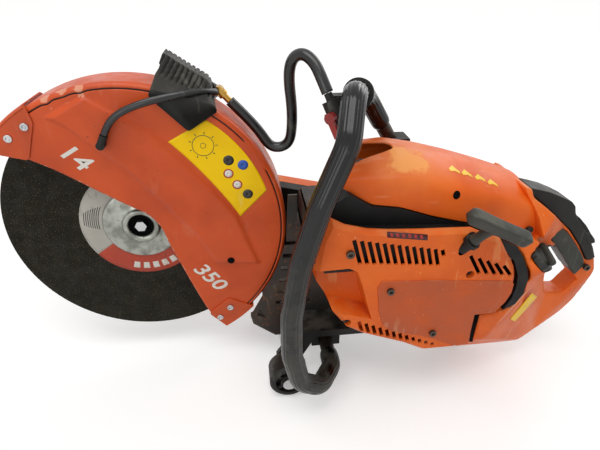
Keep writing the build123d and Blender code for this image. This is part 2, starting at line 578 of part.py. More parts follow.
def tank_and_handle():
    solid = (plate(tank_outline, tank_y0, tank_y1 + 12) & rear_plan(0, 0) & rear_section()) - crease_cut()
    hollow = plate([(443, -97), (487, -66), (490, -20), (508, -30), (522, -80), (545, -102), (556, -132),
                    (540, -155), (500, -174), (443, -174)], tank_y0 + 34, tank_y1 - 4) & rear_plan(5, 0)
    hole = plate(hand_hole, -200, 50)
    insert = soft_plate(insert_outline, handle_y - handle_half - 1.5, handle_y + handle_half + 1.5, 2)
    neck_start = along(cap_at, cap_way, -26)
    neck = bar(neck_start, cap_way, 26, cap_r)
    behind_gap = plate([(440, -80), (440, 30), (462, 16), (476, -1), (486, -20), (491, -35), (491, -59), (483, -78),
                        (466, -88)], -150, shroud_y + 8.6)
    solid = solid - hole - plate(insert_outline, -200, 50)
    solid = solid + (neck - block(400, 600, tank_y0 + 30, 0, -100, 80)) - hollow - behind_gap
    solid = solid - bar(neck_start, cap_way, 28, cap_r - 4.8) - bar(cap_at, cap_way, 40, cap_r + 3)
    solid = solid - plate(trigger_room, handle_y - 10, handle_y + 10)
    solid = solid + disc(*trigger_pivot, handle_y - 10, handle_y + 10, 1.5)
    solid = solid - disc(*handle_screw, handle_y - 30, handle_y + 30, 2.6)
    solid = solid - switch_hole()
    keep("tank_housing", solid)
    insert = insert - plate(trigger_room, handle_y - 10, handle_y + 10)
    insert = insert - disc(*handle_screw, handle_y - 30, handle_y + 30, 2.6)
    keep("handle_grip", insert)
    lock_low, lock_high = handle_y - 10, handle_y + 10
    eye_low, eye_high = lock_low - 1, lock_high + 1
    pad = plate(pad_outline, handle_y - handle_half, handle_y + handle_half)
    pad = pad - plate(lock_room, eye_low, eye_high) - disc(*lock_pivot, eye_low, eye_high, 4.2)
    keep("handle_pad", pad + disc(*lock_pivot, eye_low, eye_high, 1.5))
    lock = plate(lock_outline, lock_low, lock_high) + disc(*lock_pivot, lock_low, lock_high, 3.7)
    keep("throttle_lock", lock - disc(*lock_pivot, lock_low, lock_high, 1.55))
    trigger = plate(trigger_outline, handle_y - 9, handle_y + 9)
    keep("throttle_trigger", trigger - disc(*trigger_pivot, handle_y - 9, handle_y + 9, 1.55))
    rim = bar(along(cap_at, cap_way, 0.4), cap_way, 9, cap_r)
    for k in range(12):
        spot = Plane(origin=along(cap_at, cap_way, 4.9), z_dir=cap_way)
        rim = rim - spot * Rot(Z=30 * k) * Pos(cap_r + 1.6, 0, 0) * Cylinder(3.2, 12)
    wing = Plane(origin=along(cap_at, cap_way, 13.4), z_dir=cap_way) * Box(2 * cap_r - 5, 8, 8.1)
    keep("fuel_cap", rim + wing + bar(along(cap_at, cap_way, -12), cap_way, 12.5, cap_r - 5.5))
    keep("stop_switch", bar(switch_at, switch_way, 12, switch_r))
    choke_y = tank_y1 + 0.4
    lever = block(468, 490, choke_y, choke_y + 5, -84, -76) + disc(470, -80, choke_y, choke_y + 9, 6)
    keep("choke_lever", lever)


# Base, wheels and feet

def base_and_wheels():
    tray = block(196, 432, -92, 20, base_z, base_z + 11)
    tray = fillet(tray.edges().filter_by(Axis.Z), 14)
    arms = []
    for y in (-80, 6):
        arms.append(plate([(200, base_z), (236, base_z), (205, -206), (wheel_x - 14, -206), (wheel_x - 14, -190)],
                          y, y + 8))
    for arm in arms:
        tray = tray + arm
    tray = tray - disc(wheel_x, -198, -100, 40, 6.05)
    keep("base_plate", tray)
    axle = disc(wheel_x, -198, -127, 57, 6) + disc(wheel_x, -198, -130, -126.6, 9) + disc(wheel_x, -198, 56, 59, 9)
    keep("wheel_axle", axle)
    for y0, tag in ((-126, "left"), (19.5, "right")):
        tyre = disc(wheel_x, -198, y0, y0 + wheel_w, wheel_r)
        tyre = chamfer(tyre.edges().filter_by(GeomType.CIRCLE), 3)
        recess = disc(wheel_x, -198, y0, y0 + 8, 19) - disc(wheel_x, -198, y0, y0 + 8, 12)
        ribs = tyre - recess
        for k in range(5):
            ribs = ribs + Pos(wheel_x, 0, -198) * Rot(Y=72 * k) * block(11, 20, y0 + 2, y0 + 8, -2, 2)
        keep("wheel_" + tag, ribs - disc(wheel_x, -198, y0, y0 + wheel_w, 6.06))
    feet = [post(462, y, floor_z, tank_z, 9) for y in (-50, -28)]
    keep("rear_feet", Compound(children=feet))
    tray_top = base_z + 11.2
    side = plate([(139, -142), (142, -156), (174, -182), (232, -182), (232, base_z - 0.2), (195.8, base_z - 0.2),
                  (195.8, tray_top), (262, tray_top), (262, 4), (208, 4), (208, 52), (196, 52), (195, 23), (193, -17),
                  (180, -58), (159, -104)], -46, -43)
    for k in range(6):
        side = side - block(176 + 3 * k, 226, -50, -40, -124 + 20 * k, -117 + 20 * k)
    side = side - plate([(148, -141), (160, -146), (153, -130)], -50, -40)
    front = plate([(139, -142), (142, -156), (174, -182), (190, -182), (190, -158), (166, -130)], -43, -37)
    wrap = disc(0, 0, -43, 12, 214) - disc(0, 0, -43, 12, 210)
    wrap = wrap & block(150, 216, -43, 12, -138, 2)
    keep("muffler_guard", side + front + wrap)


# Front handle

handle_path = [(356, 36, 80), (306, 24, 160), (256, -124, 198), (246, -156, 158), (219, -164, 97), (198, -166, 26),
               (187, -166, -45), (187, -165, -105), (198, -160, -160), (226, -150, -182), (247, -118, -180),
               (246, -62, -176)]
handle_radii = [38, 26, 40, 60, 60, 60, 60, 34, 24, 22]


def front_handle():
    path = FilletPolyline(*handle_path, radius=handle_radii)
    start = Plane(origin=path @ 0, z_dir=path % 0)
    core = sweep(start * Circle(tube_r), path=path)
    keep("handle_tube", core - sweep(start * Circle(tube_r - 2), path=path))
    inner_points = [tuple(path @ 0.06)] + handle_path[1:-1] + [tuple(path @ 0.955)]
    sleeve_path = FilletPolyline(*inner_points, radius=handle_radii)
    start = Plane(origin=sleeve_path @ 0, z_dir=sleeve_path % 0)
    keep("handle_sleeve", sweep(start * (Circle(sleeve_r) - Circle(tube_r)), path=sleeve_path))
    clamp = block(226, 268, -70, -50, base_z - 38, base_z)
    foot = block(342, 374, 20, 30.4, -8, 96) + block(342, 374, 20, 52, 60, 96)
    keep("handle_clamps", Compound(children=[clamp - core, foot - core]))


# Water line

valve_way = (0.37, -0.3, -0.88)      # from the hose down to the water inlet
valve_at = (236.5, -84.5, 189.5)
inlet_way = (0.32, -0.93, -0.2)
hose_path = [(130.6, 0, 162), (149, -2, 143), (165, -4, 123.5), (177, -6, 104), (191.3, -8.5, 102.2),
             (202.5, -12, 111), (205, -19, 133), (204, -27, 162), (200, -37, 190), (200, -44, 210), (205, -50, 222),
             (214.5, -60, 226), (224.5, -71, 218), (231, -80.1, 202.8), (236.4, -84.4, 189.8)]


def water_line():
    nipple = bar(valve_at, valve_way, 12, 4.5)
    body = bar(along(valve_at, valve_way, 8), valve_way, 34, 10)
    elbow = along(valve_at, valve_way, 34)
    spigot = bar(elbow, inlet_way, 16, 7) + bar(along(elbow, inlet_way, 14), inlet_way, 24, inlet_r)
    top_run = Vector(*handle_path[2]) - Vector(*handle_path[1])
    spot = Vector(*handle_path[1]) + top_run * 0.66
    ring = Plane(origin=spot, z_dir=top_run.normalized())
    arm = block(238, 262, -84, -70, 166, 186)
    clip = ring * (Cylinder(sleeve_r + 4, 16) - Cylinder(sleeve_r, 18))
    keep("water_valve", body + nipple + spigot + arm + clip - ring * Cylinder(sleeve_r, 60))
    tap_axis = (-0.62, -0.78, 0.0)
    tap_at = along(along(valve_at, valve_way, 25), tap_axis, 10.4)
    lever = Plane(origin=along(tap_at, tap_axis, 5), x_dir=valve_way, z_dir=tap_axis)
    keep("water_tap", bar(tap_at, tap_axis, 7, 6) + lever * Pos(8, 0, 0) * Box(28, 7, 4))
    radii = bend_radii(hose_path)
    keep("water_hose", hose_along(hose_path, radii, hose_r))


def decompression():
    stem = bar((288.4, -76, 75), (-0.3, 0, 0.95), 15.5, 3.5)
    keep("decompression_button", stem + bar((284, -76, 89), (-0.3, 0, 0.95), 18, 7))


def export_all():
    """Moves everything so that the origin is the bottom centre of the box round the rigid parts."""
    os.makedirs("parts", exist_ok=True)
    rigid = [shape for name, shape in parts.items() if name not in free_hoses]
    boxes = [shape.bounding_box() for shape in rigid]
    x0, x1 = min(b.min.X for b in boxes), max(b.max.X for b in boxes)
    y0, y1 = min(b.min.Y for b in boxes), max(b.max.Y for b in boxes)
    shift = (-(x0 + x1) / 2, -(y0 + y1) / 2, -floor_z)
    print("disc axis is at", [round(v, 4) for v in shift], "from the origin")
    for name, shape in parts.items():
        export_step(Pos(*shift) * shape, "parts/" + name + ".step")

cutting_set()
guard()
arm_and_drive()
engine()
hood()
shroud()
starter_side()
tank_and_handle()
base_and_wheels()
front_handle()
water_line()
decompression()
export_all()
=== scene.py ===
import math
import bmesh
import bpy
import numpy as np
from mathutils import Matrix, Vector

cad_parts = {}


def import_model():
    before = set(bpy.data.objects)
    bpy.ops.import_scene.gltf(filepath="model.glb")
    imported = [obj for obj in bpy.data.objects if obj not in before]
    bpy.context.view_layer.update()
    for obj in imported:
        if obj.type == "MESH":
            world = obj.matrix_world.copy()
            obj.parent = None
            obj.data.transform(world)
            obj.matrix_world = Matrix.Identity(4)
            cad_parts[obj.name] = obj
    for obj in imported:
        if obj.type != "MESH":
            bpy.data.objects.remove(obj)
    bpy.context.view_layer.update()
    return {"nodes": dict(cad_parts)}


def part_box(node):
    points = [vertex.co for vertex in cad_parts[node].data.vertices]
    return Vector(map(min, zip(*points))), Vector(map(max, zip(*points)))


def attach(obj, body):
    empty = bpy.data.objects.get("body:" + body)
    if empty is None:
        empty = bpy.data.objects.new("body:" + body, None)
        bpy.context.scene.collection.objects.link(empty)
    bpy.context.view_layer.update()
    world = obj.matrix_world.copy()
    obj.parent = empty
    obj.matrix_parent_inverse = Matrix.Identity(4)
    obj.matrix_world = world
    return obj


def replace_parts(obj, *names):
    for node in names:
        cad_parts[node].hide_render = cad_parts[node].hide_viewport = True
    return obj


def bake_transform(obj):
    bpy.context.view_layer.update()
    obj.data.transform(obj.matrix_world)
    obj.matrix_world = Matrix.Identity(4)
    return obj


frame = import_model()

discLow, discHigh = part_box("cutting_disc")
discCentre = (np.array(discLow) + np.array(discHigh)) / 2
print("frame loaded, disc axis at", np.round(discCentre, 4))


# Places are in millimetres from the middle of the cutting disc: x towards the rear handle,
# y towards the belt side, z up.
def world(points):
    return np.asarray(points, float) * 0.001 + discCentre


def linear(red, green, blue):          # a screen colour as the linear one that shaders take
    return tuple((c / 255) ** 2.2 for c in (red, green, blue)) + (1.0,)


def gridFaces(rows, columns, closedRows=False, closedColumns=False):
    i = np.arange(rows if closedRows else rows - 1)[:, None]
    j = np.arange(columns if closedColumns else columns - 1)[None, :]
    nextI = (i + 1) % rows
    nextJ = (j + 1) % columns
    corners = [i * columns + j, nextI * columns + j, nextI * columns + nextJ, i * columns + nextJ]
    return np.stack(np.broadcast_arrays(*corners), -1).reshape(-1, 4)


def addToScene(name, data):
    holder = bpy.data.objects.new(name, data)
    bpy.context.scene.collection.objects.link(holder)
    return holder


def makePiece(name, points, faces, body, finish, tidy=True):
    mesh = bpy.data.meshes.new(name)
    mesh.from_pydata(world(points.reshape(-1, 3)).tolist(), [], faces)
    if tidy:                            # a closed form: its faces are turned outwards
        work = bmesh.new()
        work.from_mesh(mesh)
        bmesh.ops.remove_doubles(work, verts=work.verts, dist=0.000002)
        bmesh.ops.recalc_face_normals(work, faces=work.faces)
        work.to_mesh(mesh)
        work.free()
    mesh.shade_smooth()
    piece = addToScene(name, mesh)
    mesh.materials.append(finishes[finish])
    if body:
        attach(piece, body)
    return piece


def meshOf(name, curve):                # a curve or a text as plain points and faces
    source = addToScene(name, curve)
    bpy.context.view_layer.update()
    mesh = bpy.data.meshes.new_from_object(source.evaluated_get(bpy.context.evaluated_depsgraph_get()))
    bpy.data.objects.remove(source)
    return mesh


def unit(vector):
    return vector / np.linalg.norm(vector)


def smoothLine(points, count):
    # uniform cubic B-spline through a clamped control polygon, sampled evenly in its parameter
    control = np.asarray(points, float)
    control = np.vstack([2 * control[0] - control[1], control, 2 * control[-1] - control[-2]])
    spans = len(control) - 3
    u = np.linspace(0, spans, count)
    k = np.minimum(u.astype(int), spans - 1)
    t = (u - k)[:, None]
    weights = [(1 - t) ** 3, 3 * t ** 3 - 6 * t ** 2 + 4, -3 * t ** 3 + 3 * t ** 2 + 3 * t + 1, t ** 3]
    return sum(w * control[k + n] for n, w in enumerate(weights)) / 6


def evenly(line, count, start=0.0, end=1.0):
    # the same line, resampled at even steps of its own length
    line = np.asarray(line, float)
    travelled = np.concatenate([[0], np.cumsum(np.linalg.norm(np.diff(line, axis=0), axis=1))])
    wanted = np.linspace(start, end, count) * travelled[-1]
    return np.stack([np.interp(wanted, travelled, line[:, k]) for k in range(line.shape[1])], 1)


def roundedPath(corners, radii):
    # straight runs joined by arcs that touch both runs: arc point = start + r sin(a) * run
    # direction + r (1 - cos(a)) * direction towards the next run
    corners = np.asarray(corners, float)
    line = [corners[0]]
    for before, here, after, radius in zip(corners, corners[1:], corners[2:], radii):
        runIn, runOut = unit(here - before), unit(after - here)
        turn = math.acos(np.clip(runIn @ runOut, -1, 1))
        side = unit(runOut - (runOut @ runIn) * runIn)
        begin = here - runIn * radius * math.tan(turn / 2)
        angles = np.linspace(0, turn, 24)[:, None]
        line.extend(begin + radius * np.sin(angles) * runIn + radius * (1 - np.cos(angles)) * side)
    line.append(corners[-1])
    return np.array(line)


def tubeGrid(line, radius, around):
    # a profile carried along a line: point = line + radius(angle, way) * (cos * normal + sin *
    # binormal), with the normal carried from one station to the next without twist
    tangent = np.gradient(line, axis=0)
    tangent /= np.linalg.norm(tangent, axis=1)[:, None]
    normal = np.zeros_like(line)
    seed = np.eye(3)[np.argmin(np.abs(tangent[0]))]
    for k, way in enumerate(tangent):
        seed = unit(seed - (seed @ way) * way)
        normal[k] = seed
    binormal = np.cross(tangent, normal)
    angle = np.linspace(0, 2 * math.pi, around, endpoint=False)[None, :]
    way = np.linspace(0, 1, len(line))[:, None]
    size = np.broadcast_to(radius(angle, way) if callable(radius) else radius, (len(line), around))
    out = np.cos(angle)[..., None] * normal[:, None] + np.sin(angle)[..., None] * binormal[:, None]
    return line[:, None] + size[..., None] * out


def tubePiece(name, line, radius, around, body, finish):
    points = tubeGrid(np.asarray(line, float), radius, around)
    rows = len(points)
    faces = gridFaces(rows, around, closedColumns=True).tolist()
    faces.append(list(range(around)))
    faces.append(list(range((rows - 1) * around, rows * around)))
    return makePiece(name, points, faces, body, finish)


def lathePiece(name, profile, around, body, finish):
    # a closed profile of (radius, y) turned round the disc's axis
    profile = np.asarray(profile, float)
    angle = np.linspace(0, 2 * math.pi, around, endpoint=False)[:, None]
    radius, y = profile[:, 0], np.broadcast_to(profile[:, 1], (around, len(profile)))
    points = np.stack([radius * np.cos(angle), y, radius * np.sin(angle)], -1)
    faces = gridFaces(around, len(profile), closedRows=True, closedColumns=True).tolist()
    return makePiece(name, points, faces, body, finish)


def insideDepth(x, z, outline):
    # how far inside a closed outline each point lies, negative outside
    edgeA = np.asarray(outline, float)
    edgeB = np.roll(edgeA, -1, axis=0)
    nearest = np.full(np.shape(x), 1e9)
    inside = np.zeros(np.shape(x), bool)
    for (x0, z0), (x1, z1) in zip(edgeA, edgeB):
        length = (x1 - x0) ** 2 + (z1 - z0) ** 2
        t = np.clip(((x - x0) * (x1 - x0) + (z - z0) * (z1 - z0)) / length, 0, 1)
        nearest = np.minimum(nearest, np.hypot(x - x0 - t * (x1 - x0), z - z0 - t * (z1 - z0)))
        if z0 != z1:
            crossing = (z0 > z) != (z1 > z)
            inside ^= crossing & (x < (x1 - x0) * (z - z0) / (z1 - z0) + x0)
    return np.where(inside, nearest, -nearest)


def smoothStep(value, low, high):
    t = np.clip((value - low) / (high - low), 0, 1)
    return t * t * (3 - 2 * t)


def softSquare(angle, power):
    # a circle pushed out towards a square: each of cos and sin keeps its sign and takes the power
    return tuple(np.sign(wave) * np.abs(wave) ** power for wave in (np.cos(angle), np.sin(angle)))


def thicken(piece, millimetres):
    wall = piece.modifiers.new("wall", "SOLIDIFY")
    wall.thickness = millimetres * 0.001
    wall.offset = -1


def faceOut(piece):                     # a sheet on the starter side looks away from the belt side
    if piece.data.polygons[0].normal.y > 0:
        piece.data.flip_normals()


class Shader:
    # a Principled material with short ways to add the nodes that the finishes share
    def __init__(self, name):
        self.material = bpy.data.materials.new(name)
        self.material.use_nodes = True
        self.tree = self.material.node_tree
        self.tree.nodes.clear()
        self.surface = self.add("ShaderNodeBsdfPrincipled")
        output = self.add("ShaderNodeOutputMaterial")
        self.tree.links.new(self.surface.outputs[0], output.inputs[0])
        self.object = self.add("ShaderNodeTexCoord").outputs["Object"]
        self.normal = None

    def add(self, kind):
        return self.tree.nodes.new(kind)

    def join(self, source, socket):
        if isinstance(source, bpy.types.NodeSocket):
            self.tree.links.new(source, socket)
        else:
            socket.default_value = source

    def placed(self, scale=(1, 1, 1), turn=(0, 0, 0), centre=(0, 0, 0)):
        # coordinates measured from a centre, turned and stretched
        shift = self.add("ShaderNodeVectorMath")
        shift.operation = "SUBTRACT"
        self.join(self.object, shift.inputs[0])
        shift.inputs[1].default_value = centre
        mapping = self.add("ShaderNodeMapping")
        self.join(shift.outputs[0], mapping.inputs["Vector"])
        mapping.inputs["Rotation"].default_value = turn
        mapping.inputs["Scale"].default_value = scale
        return mapping.outputs[0]

    def noise(self, size, detail=3.0, vector=None, distortion=0.0):
        node = self.add("ShaderNodeTexNoise")
        self.join(vector or self.object, node.inputs["Vector"])
        node.inputs["Scale"].default_value = 1000.0 / size
        node.inputs["Detail"].default_value = detail
        node.inputs["Distortion"].default_value = distortion
        return node.outputs["Fac"]

    def between(self, value, low, high, toLow=0.0, toHigh=1.0):
        node = self.add("ShaderNodeMapRange")
        node.interpolation_type = "SMOOTHSTEP"
        self.join(value, node.inputs["Value"])
        limits = {"From Min": low, "From Max": high, "To Min": toLow, "To Max": toHigh}
        for socket, number in limits.items():
            node.inputs[socket].default_value = number
        return node.outputs[0]

    def patches(self, size, detail, *limits):
        return self.between(self.noise(size, detail), *limits)

    def sums(self, operation, first, second):
        node = self.add("ShaderNodeMath")
        node.operation = operation
        self.join(first, node.inputs[0])
        self.join(second, node.inputs[1])
        return node.outputs[0]

    def times(self, first, second):
        return self.sums("MULTIPLY", first, second)

    def scuffs(self, size, broad, lie, low, high, share):
        # streaks stretched one way, broken up by broad patches
        streaks = self.noise(size, 5, self.placed(*lie), 0.6)
        return self.between(self.times(streaks, self.noise(broad, 2)), low, high, 0, share)

    def blend(self, amount, *tones):    # a tone is another node's colour or a screen colour
        node = self.add("ShaderNodeMix")
        node.data_type = "RGBA"
        self.join(amount, node.inputs[0])
        for tone, socket in zip(tones, node.inputs[6:8]):
            self.join(linear(*tone) if isinstance(tone, tuple) else tone, socket)
        return node.outputs[2]

    def bump(self, height, distance, strength=1.0):
        node = self.add("ShaderNodeBump")
        node.inputs["Strength"].default_value = strength
        node.inputs["Distance"].default_value = distance * 0.001
        self.join(height, node.inputs["Height"])
        if self.normal:
            self.join(self.normal, node.inputs["Normal"])
        self.normal = node.outputs[0]

    def attribute(self, name):
        node = self.add("ShaderNodeAttribute")
        node.attribute_name = name
        return node.outputs["Fac"]

    def done(self, colour, roughness, metallic=0.0, coat=0.0, specular=0.5):
        self.join(colour, self.surface.inputs["Base Color"])
        self.join(roughness, self.surface.inputs["Roughness"])
        self.surface.inputs["Metallic"].default_value = metallic
        self.surface.inputs["Coat Weight"].default_value = coat
        self.surface.inputs["Specular IOR Level"].default_value = specular
        if self.normal:
            self.join(self.normal, self.surface.inputs["Normal"])
        return self.material


usualLook = dict(scuff=0.5, scuffSize=9, chips=(0.0, (0, 0, 0)), chipRange=(0.69, 0.71), dust=None,
                 spread=0.06, specular=0.5, metallic=0.0, coat=0.0, grain=(1.2, 0.05), waveDepth=0.0)
mottleSize, chipSize, dustSize, roughSize, waveSize = 60, 5, 26, 18, 30      # of the patterns, in mm
mottleRange = (0.35, 0.68)
streakRange = (0.33, 0.42)
streakLie = ((1, 0.8, 0.16), (0.3, 0.7, 0.5))         # scale and turn


def wornFinish(name, given):
    # base colour with broad mottling, streaky scuffs, chips, dust on what faces up, fine grain in the
    # bump; where no scuff colour is given, scuffs only roughen
    look = {**usualLook, **given}
    base, shade, scuffTone = (*look["colours"], look["colours"][0])[:3]
    chipShare, chipTone = look["chips"]
    shader = Shader(name)
    mottle = shader.patches(mottleSize, 4, *mottleRange)
    colour = shader.blend(mottle, base, shade)
    size = look["scuffSize"]
    scuffs = shader.scuffs(size, size * 7, streakLie, *streakRange, look["scuff"])
    colour = shader.blend(scuffs, colour, scuffTone)
    chips = shader.patches(chipSize, 6, *look["chipRange"])
    colour = shader.blend(shader.times(chips, chipShare), colour, chipTone)
    if look["dust"]:
        dustShare, dustTone = look["dust"]
        normal = shader.add("ShaderNodeSeparateXYZ")
        shader.join(shader.add("ShaderNodeNewGeometry").outputs["Normal"], normal.inputs[0])
        upward = shader.between(normal.outputs[2], 0.1, 0.95)
        dust = shader.times(upward, shader.patches(dustSize, 5, 0.4, 0.66))
        colour = shader.blend(shader.times(dust, dustShare), colour, dustTone)
    smoothest, roughest = look["roughness"] - look["spread"], look["roughness"] + look["spread"]
    rough = shader.patches(roughSize, 4, 0.3, 0.7, smoothest, roughest)
    rough = shader.sums("ADD", rough, shader.times(scuffs, 0.2))
    grainSize, grainDepth = look["grain"]
    shader.bump(shader.noise(grainSize, 2), grainDepth, 0.6)
    shader.bump(shader.noise(waveSize, 1), look["waveDepth"], 0.5)
    return shader.done(colour, rough, look["metallic"], look["coat"], look["specular"])


# colours are base, shade and scuffs; dust and chips are (share, colour), grain is (size, depth)
finishLooks = {
    "orangeShell": dict(
        colours=((232, 106, 34), (216, 92, 28), (236, 148, 92)), scuff=0.5, roughness=0.42,
        specular=0.3, dust=(0.4, (220, 144, 88)), chips=(0.5, (240, 165, 115)), grain=(0.9, 0.03),
        waveDepth=0.2),
    "orangeSide": dict(
        colours=((198, 90, 46), (180, 88, 56), (200, 134, 100)), scuff=0.6, roughness=0.5,
        specular=0.25, dust=(0.4, (194, 134, 96)), chips=(0.5, (215, 150, 120)), grain=(0.9, 0.03)),
    "orangePaint": dict(
        colours=((202, 80, 34), (182, 70, 30), (205, 105, 75)), scuff=0.4, roughness=0.4, spread=0.08,
        specular=0.3, coat=0.12, chips=(0.8, (120, 60, 45)), chipRange=(0.72, 0.73), grain=(1.6, 0.04),
        waveDepth=0.25),
    "blackPlastic": dict(
        colours=((26, 26, 25), (36, 35, 32), (96, 94, 86)), scuff=0.5, roughness=0.5, specular=0.25,
        dust=(0.35, (110, 104, 92)), grain=(0.8, 0.05)),
    "blackRubber": dict(
        colours=((20, 20, 21), (30, 30, 30), (92, 92, 84)), scuff=0.35, roughness=0.27, spread=0.1,
        dust=(0.1, (96, 94, 84)), grain=(1.4, 0.04)),
    # near-black, darker than blackPlastic: the shroud's black plastic with painted shade of the cavity
    # under the hood
    "shroudShadeBlack": dict(
        colours=((12, 12, 12), (18, 17, 16)), roughness=0.6, specular=0.3, grain=(0.8, 0.05)),
    # dark paint on the saw arm and the handle clamps; on the crankcase, cylinder and flywheel inside the
    # housing the same near-black is painted shade
    "darkPaintAndShade": dict(
        colours=((20, 19, 18), (30, 28, 26), (84, 80, 72)), scuff=0.5, roughness=0.5, specular=0.2,
        dust=(0.2, (84, 76, 64)), grain=(1.0, 0.08)),
    "greyGrip": dict(
        colours=((62, 62, 56), (48, 49, 45), (112, 112, 102)), scuff=0.5, roughness=0.5, specular=0.3,
        dust=(0.4, (120, 118, 104)), grain=(0.8, 0.06)),
    "darkSteel": dict(
        colours=((44, 42, 40), (66, 52, 42), (120, 112, 102)), scuff=0.6, roughness=0.48, metallic=0.3,
        dust=(0.3, (112, 98, 82)), chips=(0.7, (120, 70, 40)), chipRange=(0.62, 0.66)),
    "castAlloy": dict(
        colours=((168, 168, 165), (140, 139, 136), (205, 205, 200)), scuff=0.5, roughness=0.42,
        metallic=0.85, dust=(0.4, (130, 122, 108)), grain=(1.0, 0.08)),
    "steel": dict(
        colours=((186, 187, 188), (160, 160, 162), (220, 220, 220)), scuff=0.5, roughness=0.28,
        metallic=1.0, grain=(0.6, 0.02)),
    "darkBolt": dict(
        colours=((70, 68, 66), (96, 84, 72), (150, 146, 138)), scuff=0.6, roughness=0.36, metallic=0.8,
        grain=(0.6, 0.03)),
    "brass": dict(
        colours=((205, 168, 96), (180, 140, 72), (226, 200, 140)), scuff=0.5, roughness=0.28,
        metallic=1.0, grain=(0.7, 0.02)),
    "redPlastic": dict(
        colours=((150, 34, 26), (126, 28, 24), (176, 90, 80)), scuff=0.5, roughness=0.4,
        dust=(0.3, (150, 110, 96))),
    "ropeFibre": dict(colours=((200, 196, 182), (176, 170, 154)), roughness=0.8, grain=(1.0, 0.5)),
    "filterPaper": dict(colours=((214, 200, 160), (190, 176, 140)), roughness=0.85, grain=(1.0, 0.3)),
    "fadedYellow": dict(
        colours=((253, 206, 4), (242, 192, 4), (236, 214, 120)), scuff=0.4, roughness=0.34,
        specular=0.2, grain=(0.8, 0.01)),
    "chevronYellow": dict(colours=((250, 206, 20), (244, 196, 20)), roughness=0.4, grain=(0.8, 0.01)),
    "capPlastic": dict(
        colours=((44, 46, 43), (36, 38, 36), (84, 84, 76)), scuff=0.5, roughness=0.45, specular=0.3,
        dust=(0.25, (96, 92, 80)), grain=(0.8, 0.05)),
    # pale orange for the tube along the tank's crease: a painted highlight
    "ridgeHighlightOrange": dict(colours=((226, 148, 112), (214, 128, 92)), roughness=0.5, grain=(0.9, 0.03)),
    "labelDark": dict(colours=((70, 18, 22), (58, 16, 20)), roughness=0.4),
    "labelBlack": dict(colours=((34, 32, 28), (44, 42, 36)), roughness=0.4),
    "labelWhite": dict(
        colours=((226, 222, 212), (208, 204, 194), (190, 150, 130)), scuff=0.4, scuffSize=4,
        roughness=0.42),
    "labelRed": dict(colours=((176, 44, 38), (158, 40, 34)), roughness=0.4),
    "labelBlue": dict(colours=((38, 82, 168), (34, 74, 156)), roughness=0.4),
    "paperGrey": dict(
        colours=((186, 182, 172), (168, 164, 154), (130, 126, 116)), scuff=0.5, scuffSize=4,
        roughness=0.7, grain=(0.7, 0.05)),
    "paperRed": dict(
        colours=((186, 72, 48), (168, 62, 42), (120, 60, 46)), scuff=0.6, scuffSize=4, roughness=0.66,
        grain=(0.7, 0.05)),
    # near-black for painted shade: the insides of holes, recesses and gaps
    "paintedShadeBlack": dict(colours=((10, 10, 10), (14, 14, 14)), roughness=0.9, specular=0.1),
}
finishes = {name: wornFinish(name, look) for name, look in finishLooks.items()}


def abrasiveFinish():
    # resin bonded grit over a square glass mesh: two crossed waves for the mesh, cells for the grit
    shader = Shader("abrasive")
    centre = tuple(discCentre)
    waves = []
    for turn in (0.3, 0.3 + math.pi / 2):
        wave = shader.add("ShaderNodeTexWave")
        wave.inputs["Scale"].default_value = 0.314 * 1000 / 2.6
        wave.inputs["Distortion"].default_value = 0.8
        wave.inputs["Detail"].default_value = 1.0
        shader.join(shader.placed((1, 1, 1), (0, turn, 0), centre), wave.inputs["Vector"])
        waves.append(wave.outputs["Fac"])
    mesh = shader.sums("MAXIMUM", *waves)
    grit = shader.add("ShaderNodeTexVoronoi")
    shader.join(shader.object, grit.inputs["Vector"])
    grit.inputs["Scale"].default_value = 1000 / 1.5
    fleck = shader.patches(1.6, 2, 0.6, 0.7)
    colour = shader.blend(shader.between(mesh, 0.3, 1.0), (24, 22, 18), (44, 41, 33))
    colour = shader.blend(shader.patches(45, 4, 0.35, 0.7), colour, (34, 32, 27))
    colour = shader.blend(fleck, colour, (90, 82, 62))
    shader.bump(mesh, 0.35, 0.8)
    shader.bump(grit.outputs["Distance"], 0.25, 0.7)
    return shader.done(colour, shader.patches(14, 3, 0.3, 0.7, 0.6, 0.85), specular=0.15)


def turnedFinish():
    # zinc plated steel off the lathe: fine rings round the disc's axis, mottled plating
    shader = Shader("turnedZinc")
    rings = shader.add("ShaderNodeTexWave")
    rings.wave_type = "RINGS"
    rings.rings_direction = "Y"
    rings.inputs["Scale"].default_value = 0.314 * 1000 / 1.1
    rings.inputs["Distortion"].default_value = 0.5
    shader.join(shader.placed(centre=tuple(discCentre)), rings.inputs["Vector"])
    stain = shader.patches(16, 5, 0.36, 0.7)
    colour = shader.blend(stain, (160, 162, 154), (118, 120, 112))
    spots = shader.patches(4, 5, 0.6, 0.72, 0, 0.5)
    colour = shader.blend(spots, colour, (112, 112, 104))
    shader.bump(rings.outputs["Fac"], 0.05, 0.5)
    return shader.done(colour, shader.between(stain, 0, 1, 0.26, 0.42), metallic=0.95)


